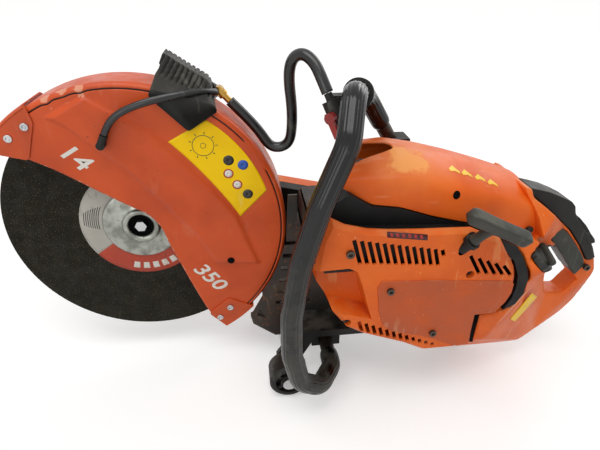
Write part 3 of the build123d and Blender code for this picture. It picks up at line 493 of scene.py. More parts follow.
def guardFinish():
    # the guard's paint, black in its seam, bare where it is knocked
    shader = Shader("guardPaint")
    seam = shader.between(shader.attribute("seam"), 0.15, 0.6)
    knock = shader.attribute("wear")
    mottle = shader.patches(70, 4, *mottleRange)
    colour = shader.blend(mottle, (206, 82, 36), (188, 72, 32))
    scuffs = shader.scuffs(8, 60, ((1, 0.8, 0.2), (0.3, 0.9, 0.5)), *streakRange, 0.35)
    colour = shader.blend(scuffs, colour, (206, 104, 72))
    worn = shader.between(shader.times(knock, shader.noise(5, 5)), 0.34, 0.46)
    colour = shader.blend(worn, colour, (214, 140, 108))
    specks = shader.patches(3.2, 4, 0.735, 0.75)
    colour = shader.blend(specks, colour, (90, 50, 40))
    colour = shader.blend(seam, colour, (16, 13, 12))
    shader.bump(shader.noise(1.6, 2), 0.04, 0.6)
    shader.bump(shader.noise(34, 1), 0.5, 0.5)
    rough = shader.patches(18, 4, 0.3, 0.7, 0.34, 0.5)
    return shader.done(colour, rough, coat=0.06, specular=0.3)


hoodLook = dict(patchAt=(332, -90, 111), patchEdge=(0.043, 0.05), paleEdge=(0.04, 0.1), patchShare=0.85)


def hoodFinish():
    # the hood's shell: sun-bleached and rubbed to a pale patch behind the front handle
    shader = Shader("hoodShell")
    patchFrom = shader.placed((1, 0.8, 1.5), centre=tuple(world(hoodLook["patchAt"])))
    length = shader.add("ShaderNodeVectorMath")
    length.operation = "LENGTH"
    shader.join(patchFrom, length.inputs[0])
    ragged = shader.times(shader.noise(24, 5), 0.05)
    edge = shader.sums("ADD", length.outputs["Value"], ragged)
    patch = shader.between(edge, *hoodLook["patchEdge"], 1, 0)
    wide = shader.between(edge, *hoodLook["paleEdge"], 0.5, 0)
    mottle = shader.patches(mottleSize, 4, *mottleRange)
    colour = shader.blend(mottle, (234, 104, 32), (220, 92, 28))
    colour = shader.blend(wide, colour, (230, 134, 72))
    pale = shader.times(patch, hoodLook["patchShare"])
    colour = shader.blend(pale, colour, (244, 162, 88))
    scuffs = shader.scuffs(9, 60, ((0.2, 0.8, 1), (0.3, 0.2, 0.5)), 0.32, 0.42, 0.45)
    colour = shader.blend(scuffs, colour, (236, 146, 104))
    shader.bump(shader.noise(0.9, 2), 0.03, 0.6)
    rough = shader.sums("ADD", shader.patches(18, 4, 0.3, 0.7, 0.38, 0.5),
                        shader.times(patch, 0.2))
    return shader.done(colour, rough, specular=0.3)


finishes["abrasive"] = abrasiveFinish()
finishes["turnedZinc"] = turnedFinish()
finishes["guardPaint"] = guardFinish()
finishes["hoodShell"] = hoodFinish()
print("finishes made:", len(finishes))


# CAD parts that keep their shape: a finish and softened edges, in mm
cadLooks = {
    "abrasive": {"cutting_disc": 0.3},
    "turnedZinc": {"inner_flange": 0.4},
    "steel": {"flange_bolt": 0.3, "spindle_shaft": 0.3, "spindle_bearings": 0, "clutch_drum": 0,
              "belt_tensioner": 0, "crankshaft": 0, "spark_plug": 0, "wheel_axle": 0.4,
              "guard_rivets": 0.5},
    # crankcase, cylinder and flywheel: near-black as painted shade of the engine's inside
    "darkPaintAndShade": {"saw_arm": 1.0, "crankcase": 1.0, "cylinder": 0.3, "flywheel": 0,
                  "handle_clamps": 1.0},
    "shroudShadeBlack": {"engine_shroud": 0.6},
    "castAlloy": {"driven_pulley": 0, "clutch_shoes": 0, "piston_and_rod": 0, "carburettor": 0.6},
    "orangeShell": {"arm_cover": 1.5, "starter_cover": 0.8},
    "orangeSide": {"starter_panel": 0.4},
    "orangePaint": {"guard_end_plates": 0.7},
    "blackPlastic": {"spray_nozzles": 0.5, "rope_drum": 0, "rope_bush": 0.4, "throttle_trigger": 1.0,
                     "fuel_cap": 0.8, "stop_switch": 0.6, "choke_lever": 0.6, "base_plate": 1.2,
                     "wheel_left": 1.0, "wheel_right": 1.0, "water_valve": 0.6,
                     "decompression_button": 0.6},
    "blackRubber": {"plug_cap": 0.8, "drive_belt": 0, "rear_feet": 1.0},
    "darkSteel": {"muffler": 1.0, "muffler_guard": 0.5, "handle_tube": 0},
    "darkBolt": {"casing_screws": 0.25},
    "brass": {"hose_fitting": 0.3},
    "redPlastic": {"water_tap": 0.6},
    "ropeFibre": {"starter_rope": 0},
    "filterPaper": {"air_filter": 0},
}


def dressed(nodeName, finishName):
    node = frame["nodes"][nodeName]
    node.data.materials.clear()
    node.data.materials.append(finishes[finishName])
    return node


def softenEdges(node, width):
    node.data.shade_smooth()
    weld = node.modifiers.new("joinTriangles", "WELD")
    weld.merge_threshold = 0.00001
    flat = node.modifiers.new("flatFaces", "DECIMATE")
    flat.decimate_type = "DISSOLVE"
    flat.angle_limit = math.radians(1.0)
    if width:
        bevel = node.modifiers.new("softEdge", "BEVEL")
        bevel.width = width * 0.001
        bevel.segments = 2
        bevel.limit_method = "ANGLE"
        bevel.angle_limit = math.radians(34)
    weighted = node.modifiers.new("faceNormals", "WEIGHTED_NORMAL")
    weighted.weight = 60
    weighted.keep_sharp = True


moulded = {      # finish, voxel in mm, rounds of smoothing
    "tank_housing": ("orangeShell", 1.8, 10),
    "handle_grip": ("greyGrip", 0.9, 16),
    "handle_pad": ("blackPlastic", 0.9, 14),
    "throttle_lock": ("blackPlastic", 0.7, 10),
}


def roundOff(node, voxel, rounds):
    # soft corners of a moulding: an even mesh, then each point drawn to the middle of its neighbours
    remesh = node.modifiers.new("evenMesh", "REMESH")
    remesh.mode = "VOXEL"
    remesh.voxel_size = voxel * 0.001
    remesh.use_smooth_shade = True
    smooth = node.modifiers.new("softCorners", "SMOOTH")
    smooth.factor = 0.5
    smooth.iterations = rounds


for nodeName, (finishName, voxel, rounds) in moulded.items():
    roundOff(dressed(nodeName, finishName), voxel, rounds)
for finishName, widths in cadLooks.items():
    for nodeName, width in widths.items():
        softenEdges(dressed(nodeName, finishName), width)
print("CAD parts finished:", sum(len(widths) for widths in cadLooks.values()))


guardShape = dict(
    rim=195.0, half=30.0, roll=7.0, band=4.5, slope=5.0, wall=1.8, hub=34.6,
    rimFrom=132.1, rimTo=-58.3, seamShows=-20,
    mouth=[(-131, 134), (-130, 124), (-122, 117), (-109, 110), (-81, 95), (-56, 77), (-25, 55), (0, 38),
           (15, 30), (27, 15), (33, 2), (37, -19), (47, -47), (56, -76), (69, -113), (78, -138),
           (89, -157), (103, -166)],
    raised=[(-77, 158), (-62, 149), (-25, 115), (0, 90), (25, 59), (50, 24), (75, -10), (97, -54),
            (158, -60), (147, -29), (131, 21), (100, 65), (66, 106), (38, 137), (0, 162), (-31, 182)],
    seamRadius=188.0, seamWidth=0.75, seamDepth=2.4,
    seamSpans=[(62, 131), (38, 57), (-56, 27)],         # degrees, where the plate stands off the rim
    dents=[(112, -26, 5, 2.2), (106, -24, 7, 1.8), (100, -27, 5, 1.6), (70, -10, 12, 1.0)],
)


def bandHeight(x, z):
    # the pressed band: a plateau that falls away over the slope's width
    depth = insideDepth(x, z, guardShape["raised"])
    return guardShape["band"] * smoothStep(depth, -1.0, guardShape["slope"])


def guardSkin():
    # side plate: straight lines from the mouth to the rim, then a quarter roll, the rim, the same again.
    # Place = mouth(t) + way * (rim(t) - mouth(t)) on the sides, and the rim's circle carried across y.
    shape = guardShape
    stations = 300
    mouth = evenly(smoothLine(shape["mouth"], 240), stations)
    edge = shape["rim"] - shape["roll"]
    angles = np.radians(np.linspace(shape["rimFrom"], shape["rimTo"], stations))
    rimX, rimZ = np.cos(angles), np.sin(angles)
    way = np.concatenate([np.linspace(0, 0.9, 44), np.linspace(0.905, 1.0, 20)])
    left = [mouth[:, 0:1] + way * (edge * rimX[:, None] - mouth[:, 0:1]),
            mouth[:, 1:2] + way * (edge * rimZ[:, None] - mouth[:, 1:2])]
    leftY = -shape["half"] - bandHeight(*left)
    bend = np.radians(np.linspace(0, 90, 8)[1:])
    rollR = edge + shape["roll"] * np.sin(bend)
    rollY = -shape["half"] + shape["roll"] * (1 - np.cos(bend))
    acrossR = np.concatenate([rollR, np.full(6, shape["rim"]), rollR[::-1]])
    acrossY = np.concatenate([rollY, np.linspace(rollY[-1], -rollY[-1], 8)[1:-1], -rollY[::-1]])
    ring = [rimX[:, None] * acrossR, rimZ[:, None] * acrossR]
    reach = np.hypot(mouth[:, 0], mouth[:, 1])
    inner = mouth * (np.maximum(reach, shape["hub"]) / reach)[:, None]
    back = np.linspace(1, 0, 24)
    right = [inner[:, 0:1] + back * (edge * rimX[:, None] - inner[:, 0:1]),
             inner[:, 1:2] + back * (edge * rimZ[:, None] - inner[:, 1:2])]
    x = np.hstack([left[0], ring[0], right[0]])
    z = np.hstack([left[1], ring[1], right[1]])
    rightY = np.full(right[0].shape, shape["half"])
    y = np.hstack([leftY, np.broadcast_to(acrossY, ring[0].shape), rightY])
    radius, degrees = np.hypot(x, z), np.degrees(np.arctan2(z, x))
    # the seam is a narrow trench where the plate meets the rim
    spans = sum(smoothStep(degrees, a, a + 3) * (1 - smoothStep(degrees, b - 3, b))
                for a, b in shape["seamSpans"])
    shows = y < shape["seamShows"]
    seam = np.exp(-((radius - shape["seamRadius"]) / shape["seamWidth"]) ** 2) * spans * shows
    y = y + shape["seamDepth"] * seam
    knocked = np.zeros_like(x)
    for angle, dentY, size, depth in shape["dents"]:
        away = ((degrees - angle) * 3.4 / size) ** 2 + ((y - dentY) / 6.0) ** 2
        dent = np.exp(-away) * (radius > 180)
        x, z = x * (1 - depth * dent / radius), z * (1 - depth * dent / radius)
        knocked += dent
    ridge = np.exp(-(insideDepth(x, z, shape["raised"]) / 2.0) ** 2) * (y < shape["seamShows"])
    column = np.arange(x.shape[1])
    border = np.exp(-np.minimum(column, column[::-1]) / 1.5)[None, :]
    rolled = np.abs(radius - 193) < 3
    wear = np.clip(knocked * 1.1 + ridge * 0.35 + border * 0.8 + rolled * 0.35, 0, 1)
    points = np.stack([x, y, z], -1)
    faces = gridFaces(*x.shape).tolist()
    piece = makePiece("guardSkin", points, faces, "guard", "guardPaint", tidy=False)
    for name, values in (("seam", seam), ("wear", wear)):
        layer = piece.data.attributes.new(name, "FLOAT", "POINT")
        layer.data.foreach_set("value", values.astype(np.float32).ravel())
    thicken(piece, shape["wall"])
    return piece


collarShape = [(34.4, 27.6), (35, 27.2), (55.4, 27.2), (56, 27.6), (56, 29.5), (55.4, 30), (35, 30),
               (34.4, 29.5)]                         # radius and y
foldShape = dict(angles=(119.5, 132.4), across=(-32.0, 31.5), radius=197.1, drop=3.0, flat=27, turned=5)


def guardCollar():
    # the flat ring on the belt side that turns on the arm's hub
    lathePiece("guardCollar", collarShape, 96, "guard", "orangePaint")


def frontFold():
    # the front end plate's flange: an arc of the rim carried across from side to side, its edges turned
    # down by drop * t squared
    shape = foldShape
    angle = np.radians(np.linspace(*shape["angles"], 24))[:, None]
    y = np.linspace(*shape["across"], 40)[None, :]
    fromMiddle = np.abs(y - sum(shape["across"]) / 2)
    shoulder = shape["drop"] * np.clip((fromMiddle - shape["flat"]) / shape["turned"], 0, 1) ** 2
    radius = shape["radius"] - shoulder + 0 * angle
    points = np.stack([radius * np.cos(angle), y + 0 * angle, radius * np.sin(angle)], -1)
    piece = makePiece("frontFold", points, gridFaces(24, 40).tolist(), "guard", "orangePaint",
                      tidy=False)
    thicken(piece, guardShape["wall"])


guard = guardSkin()
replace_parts(guard, "guard_shell")
guardCollar()
frontFold()
print("guard skinned")


gripShape = dict(side=[(44, 187), (41, 179), (81, 137), (117, 160), (113, 168)],
                 crest=[(60, 223), (50, 183), (82, 150), (114, 166), (109, 190)],
                 levels=(-36, -14, 14, 36), ribPitch=6.2, ribDepth=1.5, ribWay=(49, -33), ribHalf=27,
                 skirtAt=(78, 160), skirtUp=(0.56, 0.83))


def gripSaddle():
    # five-sided loops, corners rounded, at four places across the guard; in between they are mixed in a
    # straight line. Ribs are grooves at even steps along the crest, only above the skirt.
    shape = gripShape
    loops = []
    for outline in (shape["side"], shape["crest"], shape["crest"], shape["side"]):
        ring = np.asarray(outline, float)
        ring = np.vstack([ring, ring[:1]])
        dense = evenly(ring, 241)[:-1]
        kernel = np.ones(9) / 9
        padded = np.vstack([dense[-4:], dense, dense[:4]])
        loops.append(np.stack([np.convolve(padded[:, k], kernel, "valid") for k in (0, 1)], 1))
    loops = np.array(loops)
    a, b, c, d = shape["levels"]
    y = np.concatenate([np.linspace(a, b, 40), np.linspace(b + 1, c - 1, 26), np.linspace(c, d, 40)])
    place = np.interp(y, shape["levels"], np.arange(4))
    k = np.minimum(place.astype(int), 2)
    t = (place - k)[:, None, None]
    ring = loops[k] * (1 - t) + loops[k + 1] * t
    middle = ring.mean(axis=1, keepdims=True)
    along = ring @ unit(np.array(shape["ribWay"]))
    upward = (ring - np.array(shape["skirtAt"])) @ np.array(shape["skirtUp"])
    ribs = (np.abs((along / shape["ribPitch"]) % 1 - 0.5) < 0.16) * smoothStep(upward, 20, 26)
    ribs = ribs * (np.abs(y)[:, None] < shape["ribHalf"])
    inward = middle - ring
    inward = inward / np.linalg.norm(inward, axis=-1, keepdims=True)
    ring = ring + inward * (ribs * shape["ribDepth"])[..., None]
    sink = ribs * shape["ribDepth"] * (np.abs(y)[:, None] > 12) * -np.sign(y)[:, None]
    points = np.stack([ring[..., 0], y[:, None] + sink, ring[..., 1]], -1)
    rows, columns = points.shape[:2]
    faces = gridFaces(rows, columns, closedColumns=True).tolist()
    faces += [list(range(columns)), list(range((rows - 1) * columns, rows * columns))]
    return makePiece("gripSaddle", points, faces, "guard", "blackPlastic")


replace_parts(gripSaddle(), "guard_grip")


# marks on the guard and the disc are thin plates that lie on the surface
def flatPatch(name, x, z, y, body, finish, thickness=0.15):
    # a grid of (x, z) laid at depth y and given a thickness
    points = np.stack([x, np.broadcast_to(y, x.shape), z], -1)
    piece = makePiece(name, points, gridFaces(*x.shape).tolist(), body, finish, tidy=False)
    faceOut(piece)
    thicken(piece, thickness)


def onGuard(x, z, lift):
    return -guardShape["half"] - bandHeight(x, z) - lift


guardLabel = dict(innerFrom=(66.1, 135.7), innerTo=(7.2, 135.0), innerMiddle=122.0, innerEnds=135.3,
                  outerFrom=(55.6, 180.4), outerTo=(17.3, 178.2), lift=0.3, markLift=0.4,
                  scaleAt=(0.2, 0.46), tickCount=9, tick=(14.5, 17.5), dotRadius=6.6, dotRing=4.7)


def labelPlace(u, v):
    # polar place on the label: u runs down it, v from its inner edge to its outer one
    def edge(name, radius=None):
        (angleFrom, radiusFrom), (angleTo, radiusTo) = guardLabel[name + "From"], guardLabel[name + "To"]
        angle = np.radians(angleFrom + u * (angleTo - angleFrom))
        if radius is None:
            radius = radiusFrom + u * (radiusTo - radiusFrom)
        return radius * np.cos(angle), radius * np.sin(angle)
    ends, bow = guardLabel["innerEnds"], 4 * u * (1 - u)
    ax, az = edge("inner", ends + bow * (guardLabel["innerMiddle"] - ends))
    bx, bz = edge("outer")
    return ax + v * (bx - ax), az + v * (bz - az)


def discGrid(radiusFrom, radiusTo, steps=49, centre=(0.0, 0.0), stretch=1.0):
    # rings of points round a centre in (x, z)
    angle = np.linspace(0, 2 * math.pi, steps)[:, None]
    radius = np.linspace(max(radiusFrom, 0.01), radiusTo, 3)[None, :]
    return centre[0] + stretch * radius * np.cos(angle), centre[1] + radius * np.sin(angle)


def guardMarks():
    def mark(name, x, z, finish, lift="markLift", thickness=0.1):
        y = onGuard(x, z, guardLabel[lift])
        flatPatch(name, x, z, y, "guard", finish, thickness)
    u, v = np.meshgrid(np.linspace(0, 1, 60), np.linspace(0, 1, 24), indexing="ij")
    mark("guardLabel", *labelPlace(u, v), "fadedYellow", "lift", 0.15)
    dot, ring, scale = guardLabel["dotRadius"], guardLabel["dotRing"], guardLabel["scaleAt"]
    rings = [("scaleRing", *scale, 12.5, 13.3, "labelBlack"),
             ("scaleHub", *scale, 3.0, 3.6, "labelBlack"),
             ("markA", 0.47, 0.62, 0.0, dot, "labelBlack"), ("markB", 0.60, 0.80, 0.0, dot, "labelBlue")]
    for letter, down in (("C", 0.58), ("D", 0.73)):
        rings += [("mark" + letter, down, 0.42, ring, 6.4, "labelRed"),
                  ("mark%sin" % letter, down, 0.42, 0.0, ring, "labelWhite")]
    rings.append(("markE", 0.88, 0.5, 0.0, dot, "labelBlack"))
    for name, u, v, r0, r1, finish in rings:
        mark(name, *discGrid(r0, r1, centre=labelPlace(np.array(u), np.array(v))), finish)
    cx, cz = labelPlace(*np.array(scale))
    across, along = np.meshgrid((-0.5, 0.5), guardLabel["tick"], indexing="ij")
    for k in range(guardLabel["tickCount"]):            # ticks round the plain scale
        turn = 2 * math.pi * k / guardLabel["tickCount"]
        x = cx + along * math.cos(turn) - across * math.sin(turn)
        z = cz + along * math.sin(turn) + across * math.cos(turn)
        mark("scaleTick%d" % k, x, z, "labelBlack")


def guardHole(centre=(117.0, -49.0), radius=5.0):
    # a flat black disc where the hole is: painted shade of its inside
    x, z = discGrid(0.0, radius, 33, centre)
    y = onGuard(*np.array(centre), guardLabel["lift"]) + 0 * x
    flatPatch("guardHole", x, z, y, "guard", "paintedShadeBlack")


numeralLook = dict(size=1.35, stretch=1.22, shear=0.2, offset=0.5, extrude=0.12, lift=0.25)
numerals = {                            # text, middle, height, lean
    "numeralInches": ("14", (-56, 110), 22, -47),
    "numeralMillimetres": ("350", (85, -77), 21, -52),
}


def numeral(name, text, middle, height, lean):
    # a filled text shape, made a mesh, then laid on the guard's side facing outwards
    curve = bpy.data.curves.new(name, "FONT")
    curve.body = text
    curve.align_x = curve.align_y = "CENTER"
    curve.size = height * numeralLook["size"]
    for key in ("shear", "offset", "extrude"):
        setattr(curve, key, numeralLook[key])
    mesh = meshOf(name + "Source", curve)
    flat = np.zeros(len(mesh.vertices) * 3)
    mesh.vertices.foreach_get("co", flat)
    across, up, out = flat.reshape(-1, 3).T
    across = across * numeralLook["stretch"]
    turn = math.radians(lean)
    x = across * math.cos(turn) - up * math.sin(turn) + middle[0]
    z = across * math.sin(turn) + up * math.cos(turn) + middle[1]
    placed = np.stack([x, onGuard(x, z, numeralLook["lift"]) - out, z], 1)
    mesh.vertices.foreach_set("co", world(placed).ravel())
    mesh.update()
    mesh.materials.clear()
    mesh.materials.append(finishes["labelWhite"])
    piece = addToScene(name, mesh)
    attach(piece, "guard")


discPaper = dict(radii=(46, 80.5), turns=(-12, 214, 348), lift=0.15, printLift=0.28,
                 bars=8, barFrom=56, barStep=2.6, barTurns=(150, 186),
                 blocks=7, blockRadii=(64, 74), blockFrom=252, blockStep=11, blockWide=7)


def discLabel():
    # a ring of paper in two colours round the flange, with plain printed bars
    def sector(name, r0, r1, a0, a1, finish, lift):
        angle = np.radians(np.linspace(a0, a1, max(8, int(abs(a1 - a0) / 3))))[:, None]
        radius = np.linspace(r0, r1, 6)[None, :]
        x, z = radius * np.cos(angle), radius * np.sin(angle)
        flatPatch(name, x, z, -2.0 - lift, "cutting_set", finish, 0.1)
    look = discPaper
    first, second, last = look["turns"]
    sector("discPaper", *look["radii"], first, second, "paperGrey", look["lift"])
    sector("discPaperRed", *look["radii"], second, last, "paperRed", look["lift"])
    begin, end = look["barTurns"]
    for k in range(look["bars"]):
        r = look["barFrom"] + look["barStep"] * k
        sector("discBar%d" % k, r, r + 1, begin + 2 * k, end - k, "labelBlack", look["printLift"])
    for k in range(look["blocks"]):
        a = look["blockFrom"] + look["blockStep"] * k
        sector("discBlock%d" % k, *look["blockRadii"], a, a + look["blockWide"], "labelWhite",
               look["printLift"])


guardMarks()
for name, look in numerals.items():
    numeral(name, *look)
discLabel()
guardHole()
print("guard and disc marked")


# profiles of (radius, y), from the bore out and back
flangeShape = [(5.3, -2.0), (50.4, -2.0), (51, -2.6), (51, -4.2), (50, -5.2), (47, -5.9), (41, -6.3),
               (33, -7.0), (26.5, -8.0), (24.4, -9.4), (23.6, -11.4), (22.6, -12.0), (19.5, -12.0),
               (17.6, -11.2), (16.4, -9.0), (15.6, -5.2), (14.2, -5.0), (5.3, -5.0)]
recessShape = [(5.4, -5.15), (15.3, -5.25), (16.0, -8.4), (16.3, -9.2), (16.0, -9.0), (15.4, -5.6),
               (14.8, -5.4), (5.4, -5.4)]
flange = lathePiece("turnedFlange", flangeShape, 160, "cutting_set", "turnedZinc")
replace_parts(flange, "outer_flange")
# a black lining of the flange's recess: painted shade inside it
lathePiece("flangeRecess", recessShape, 96, "cutting_set", "paintedShadeBlack")
print("flange turned")


sprayRoute = [(-12.8, -42.5, 139.2), (-7, -43, 151), (6, -43.4, 163), (27, -43.4, 172), (52, -42.5, 178),
              (76, -38.5, 181.5), (95, -29.5, 181.5), (108, -19, 178.5), (115.5, -9.3, 175.4)]
hoseRoute = [(130.6, 0, 162), (149, -2, 143), (165, -4, 123.5), (177, -6, 104), (191.3, -8.5, 102.2),
             (202.5, -12, 111), (205, -19, 133), (204, -27, 162), (200, -37, 190), (200, -44, 210),
             (205, -50, 222), (214.5, -60, 226), (224.5, -71, 218), (231, -80.1, 202.8),
             (236.4, -84.4, 189.8)]
hoseRadius, sprayRadius = 6.5, 4.2


def splineOf(route, name):
    # the smooth line of a NURBS spline with the route's points as its control points
    curve = bpy.data.curves.new(name, "CURVE")
    curve.dimensions = "3D"
    curve.resolution_u = 12
    spline = curve.splines.new("NURBS")
    spline.points.add(len(route) - 1)
    for point, place in zip(spline.points, world(route)):
        point.co = (*place, 1.0)
    spline.order_u = 3
    spline.use_endpoint_u = True
    mesh = meshOf(name, curve)
    line = np.array([v.co for v in mesh.vertices])
    bpy.data.meshes.remove(mesh)
    return (line - discCentre) * 1000


def hoses():
    line = evenly(splineOf(hoseRoute, "waterRoute"), 160)
    hose = tubePiece("waterHose", line, hoseRadius, 28, None, "blackRubber")
    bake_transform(hose)
    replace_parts(hose, "water_hose")
    for side, name in ((1, "sprayHoseLeft"), (-1, "sprayHoseRight")):
        line = evenly(splineOf([(x, side * y, z) for x, y, z in sprayRoute], name + "Route"), 90)
        spray = tubePiece(name, line, sprayRadius, 20, "guard", "blackRubber")
        if side == 1:
            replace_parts(spray, "spray_hoses")


hoses()


handleShape = dict(path=[(356, 36, 80), (306, 24, 160), (256, -124, 198), (246, -156, 158),
                         (219, -164, 97), (198, -166, 26), (187, -166, -45), (187, -165, -105),
                         (198, -160, -160), (226, -150, -182), (247, -118, -180), (246, -62, -176)],
                   radii=[38, 26, 40, 60, 60, 60, 60, 34, 24, 22], outer=13.0, flutes=16, fluteDepth=0.5,
                   start=0.055, end=0.958)


def handleRubber():
    # a circle with shallow flutes carried along the bow:
    # radius = outer - depth * |cos(flutes / 2 * angle)|^6
    shape = handleShape
    line = evenly(roundedPath(shape["path"], shape["radii"]), 300, shape["start"], shape["end"])

    def radius(angle, way):
        flute = np.abs(np.cos(shape["flutes"] / 2 * angle)) ** 6
        lip = np.exp(-np.minimum(way, 1 - way) / 0.004)
        fading = smoothStep(np.minimum(way, 1 - way), 0.01, 0.03)
        return shape["outer"] - shape["fluteDepth"] * flute * fading - lip * 1.5
    piece = tubePiece("handleRubber", line, radius, 108, "root", "handleRubber")
    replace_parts(piece, "handle_sleeve")


def handleRubberFinish():
    # gloss on top where hands rub it, grey with dust lower down
    shader = Shader("handleRubber")
    parts = shader.add("ShaderNodeSeparateXYZ")
    shader.join(shader.object, parts.inputs[0])
    lower = shader.between(parts.outputs[2], 0.34, 0.09)
    dusty = shader.times(lower, shader.patches(16, 5, 0.32, 0.62))
    colour = shader.blend(shader.times(dusty, 0.4), (12, 12, 13), (78, 77, 68))
    scuff = shader.between(shader.noise(3.5, 5, shader.placed((1, 1, 0.2))), 0.62, 0.7, 0, 0.25)
    colour = shader.blend(scuff, colour, (70, 70, 66))
    rough = shader.sums("ADD", shader.patches(20, 4, 0.3, 0.7, 0.13, 0.22),
                        shader.times(dusty, 0.32))
    shader.bump(shader.noise(1.6, 2), 0.05, 0.5)
    return shader.done(colour, rough, specular=0.4)


finishes["handleRubber"] = handleRubberFinish()
handleRubber()
print("front handle covered")


hoodShape = dict(
    x=[250, 285, 318, 359, 400, 441, 478, 515],
    low=[90, 69.5, 66, 52, 41, 32, 20, 6],
    crest=[106, 117, 120, 113, 102, 89, 76, 60],
    half=[57, 64, 67, 68, 68, 67, 65, 58],
    middle=-53.0, rightLow=-4.0, wall=2.6,
    section=[(-1, 0), (-1, 0.16), (-0.995, 0.34), (-0.985, 0.50), (-0.955, 0.62), (-0.90, 0.69),
             (-0.76, 0.79), (-0.58, 0.88), (-0.38, 0.95), (-0.14, 1.0), (0.14, 1.0), (0.40, 0.95),
             (0.66, 0.84), (0.86, 0.66), (0.97, 0.45), (1.0, 0.2), (1.0, 0.0)],
    frontAt=[-1, -0.9, -0.65, -0.54, -0.50, -0.44, -0.37, -0.32, -0.23, -0.12, 0, 0.1, 0.15, 0.22, 0.35,
             1],
    front=[251, 256, 263, 270, 278, 289, 302, 313, 321, 321, 318, 311, 298, 281, 272, 262],
    rearAt=[0, 0.3, 0.6, 1.0, 1.4, 1.7, 2.0],
    rear=[502, 499, 496, 492, 500, 502, 503],
)


def spread(values, at, where):
    # a smooth line through the values: straight between them, then averaged over a short window
    fine = np.linspace(min(at), max(at), 801)
    raw = np.interp(fine, at, values)
    width = 61
    padded = np.concatenate([2 * raw[0] - raw[width:0:-1], raw, 2 * raw[-1] - raw[-2:-width - 2:-1]])
    soft = np.convolve(padded, np.hanning(width) / np.hanning(width).sum(), "same")[width:-width]
    return np.interp(where, fine, soft)


def hoodSkin():
    # a rounded section swept from the scoop's edge to the tank's seam: x between front and rear edge,
    # y = middle + across * half width(x), z = low(x) + height * (crest(x) - low(x))
    shape = hoodShape
    section = smoothLine(shape["section"], 150)
    across, height = section[:, 0], section[:, 1]
    turn = np.where(across < 0, height, 2 - height)
    front = np.interp(across, shape["frontAt"], shape["front"])
    kernel = np.ones(5) / 5
    front = np.convolve(np.pad(front, 2, mode="edge"), kernel, "valid")
    rear = np.interp(turn, shape["rearAt"], shape["rear"])
    u = np.linspace(0, 1, 150)[:, None]
    x = front + u * (rear - front)
    low = spread(shape["low"], shape["x"], x)
    crest = spread(shape["crest"], shape["x"], x)
    half = spread(shape["half"], shape["x"], x)
    skirt = smoothStep(across, 0.7, 1.0) * (1 - smoothStep(height, 0, 0.4))
    z = low + height * (crest - low)
    z = z + skirt * (shape["rightLow"] - z)
    y = shape["middle"] + across * half
    points = np.stack([x, y, z], -1)
    piece = makePiece("hoodSkin", points, gridFaces(*x.shape).tolist(), "root", "hoodShell",
                      tidy=False)
    topFace = 75 * (x.shape[1] - 1) + 70
    if piece.data.polygons[topFace].normal.z < 0:
        piece.data.flip_normals()
    thicken(piece, shape["wall"])
    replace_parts(piece, "top_cover")


hoodSkin()
print("hood skinned")


gripBar = dict(start=(392.0, -149.0, 26.0), pull=(0.40, -0.45, 0.80), lie=(0.894, 0.0, -0.447),
               length=88.0, half=8.6, slimmer=(0.9, 1.3), corner=0.36, seat=12.4, rise=33, shift=6,
               neck=27, neckRadius=7.0, neckWaist=1.2)


def starterHandle():
    # a bar with a soft-cornered section, fuller at its ends, on a waisted neck
    shape = gripBar
    pull, lie = unit(np.array(shape["pull"])), np.array(shape["lie"])
    lie = unit(lie - (lie @ pull) * pull)
    side = np.cross(pull, lie)
    seat = np.array(shape["start"]) + shape["seat"] * pull
    middle = seat + shape["rise"] * pull + shape["shift"] * lie
    s = np.linspace(-1, 1, 60)
    end = np.sqrt(np.clip(1 - np.abs(s) ** 14, 0, 1))
    wide, tall = ((shape["half"] - less * (1 - s ** 2)) * end for less in shape["slimmer"])
    angle = np.linspace(0, 2 * math.pi, 48, endpoint=False)
    cosine, sine = softSquare(angle, shape["corner"])
    points = (middle + (shape["length"] / 2 * s)[:, None, None] * lie
              + (wide[:, None] * cosine)[..., None] * side + (tall[:, None] * sine)[..., None] * pull)
    faces = gridFaces(60, 48, closedColumns=True).tolist()
    bar = makePiece("starterHandle", points, faces, "starter_pull", "greyGrip")
    rows = seat + np.linspace(0, shape["neck"], 30)[:, None] * pull

    def radius(angle, way):
        return shape["neckRadius"] - shape["neckWaist"] * np.sin(math.pi * way) + 0 * angle
    tubePiece("starterNeck", rows, radius, 32, "starter_pull", "greyGrip")
    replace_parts(bar, "starter_grip")


starterHandle()
print("starter grip shaped")


def onHood(x, z):
    # depth of the hood's left side at a place seen from the side
    shape = hoodShape
    low, crest = spread(shape["low"], shape["x"], x), spread(shape["crest"], shape["x"], x)
    section = smoothLine(shape["section"], 400)
    left = section[:, 0] < 0
    across = np.interp(np.clip((z - low) / (crest - low), 0, 0.995), section[left, 1], section[left, 0])
    return shape["middle"] + across * spread(shape["half"], shape["x"], x)


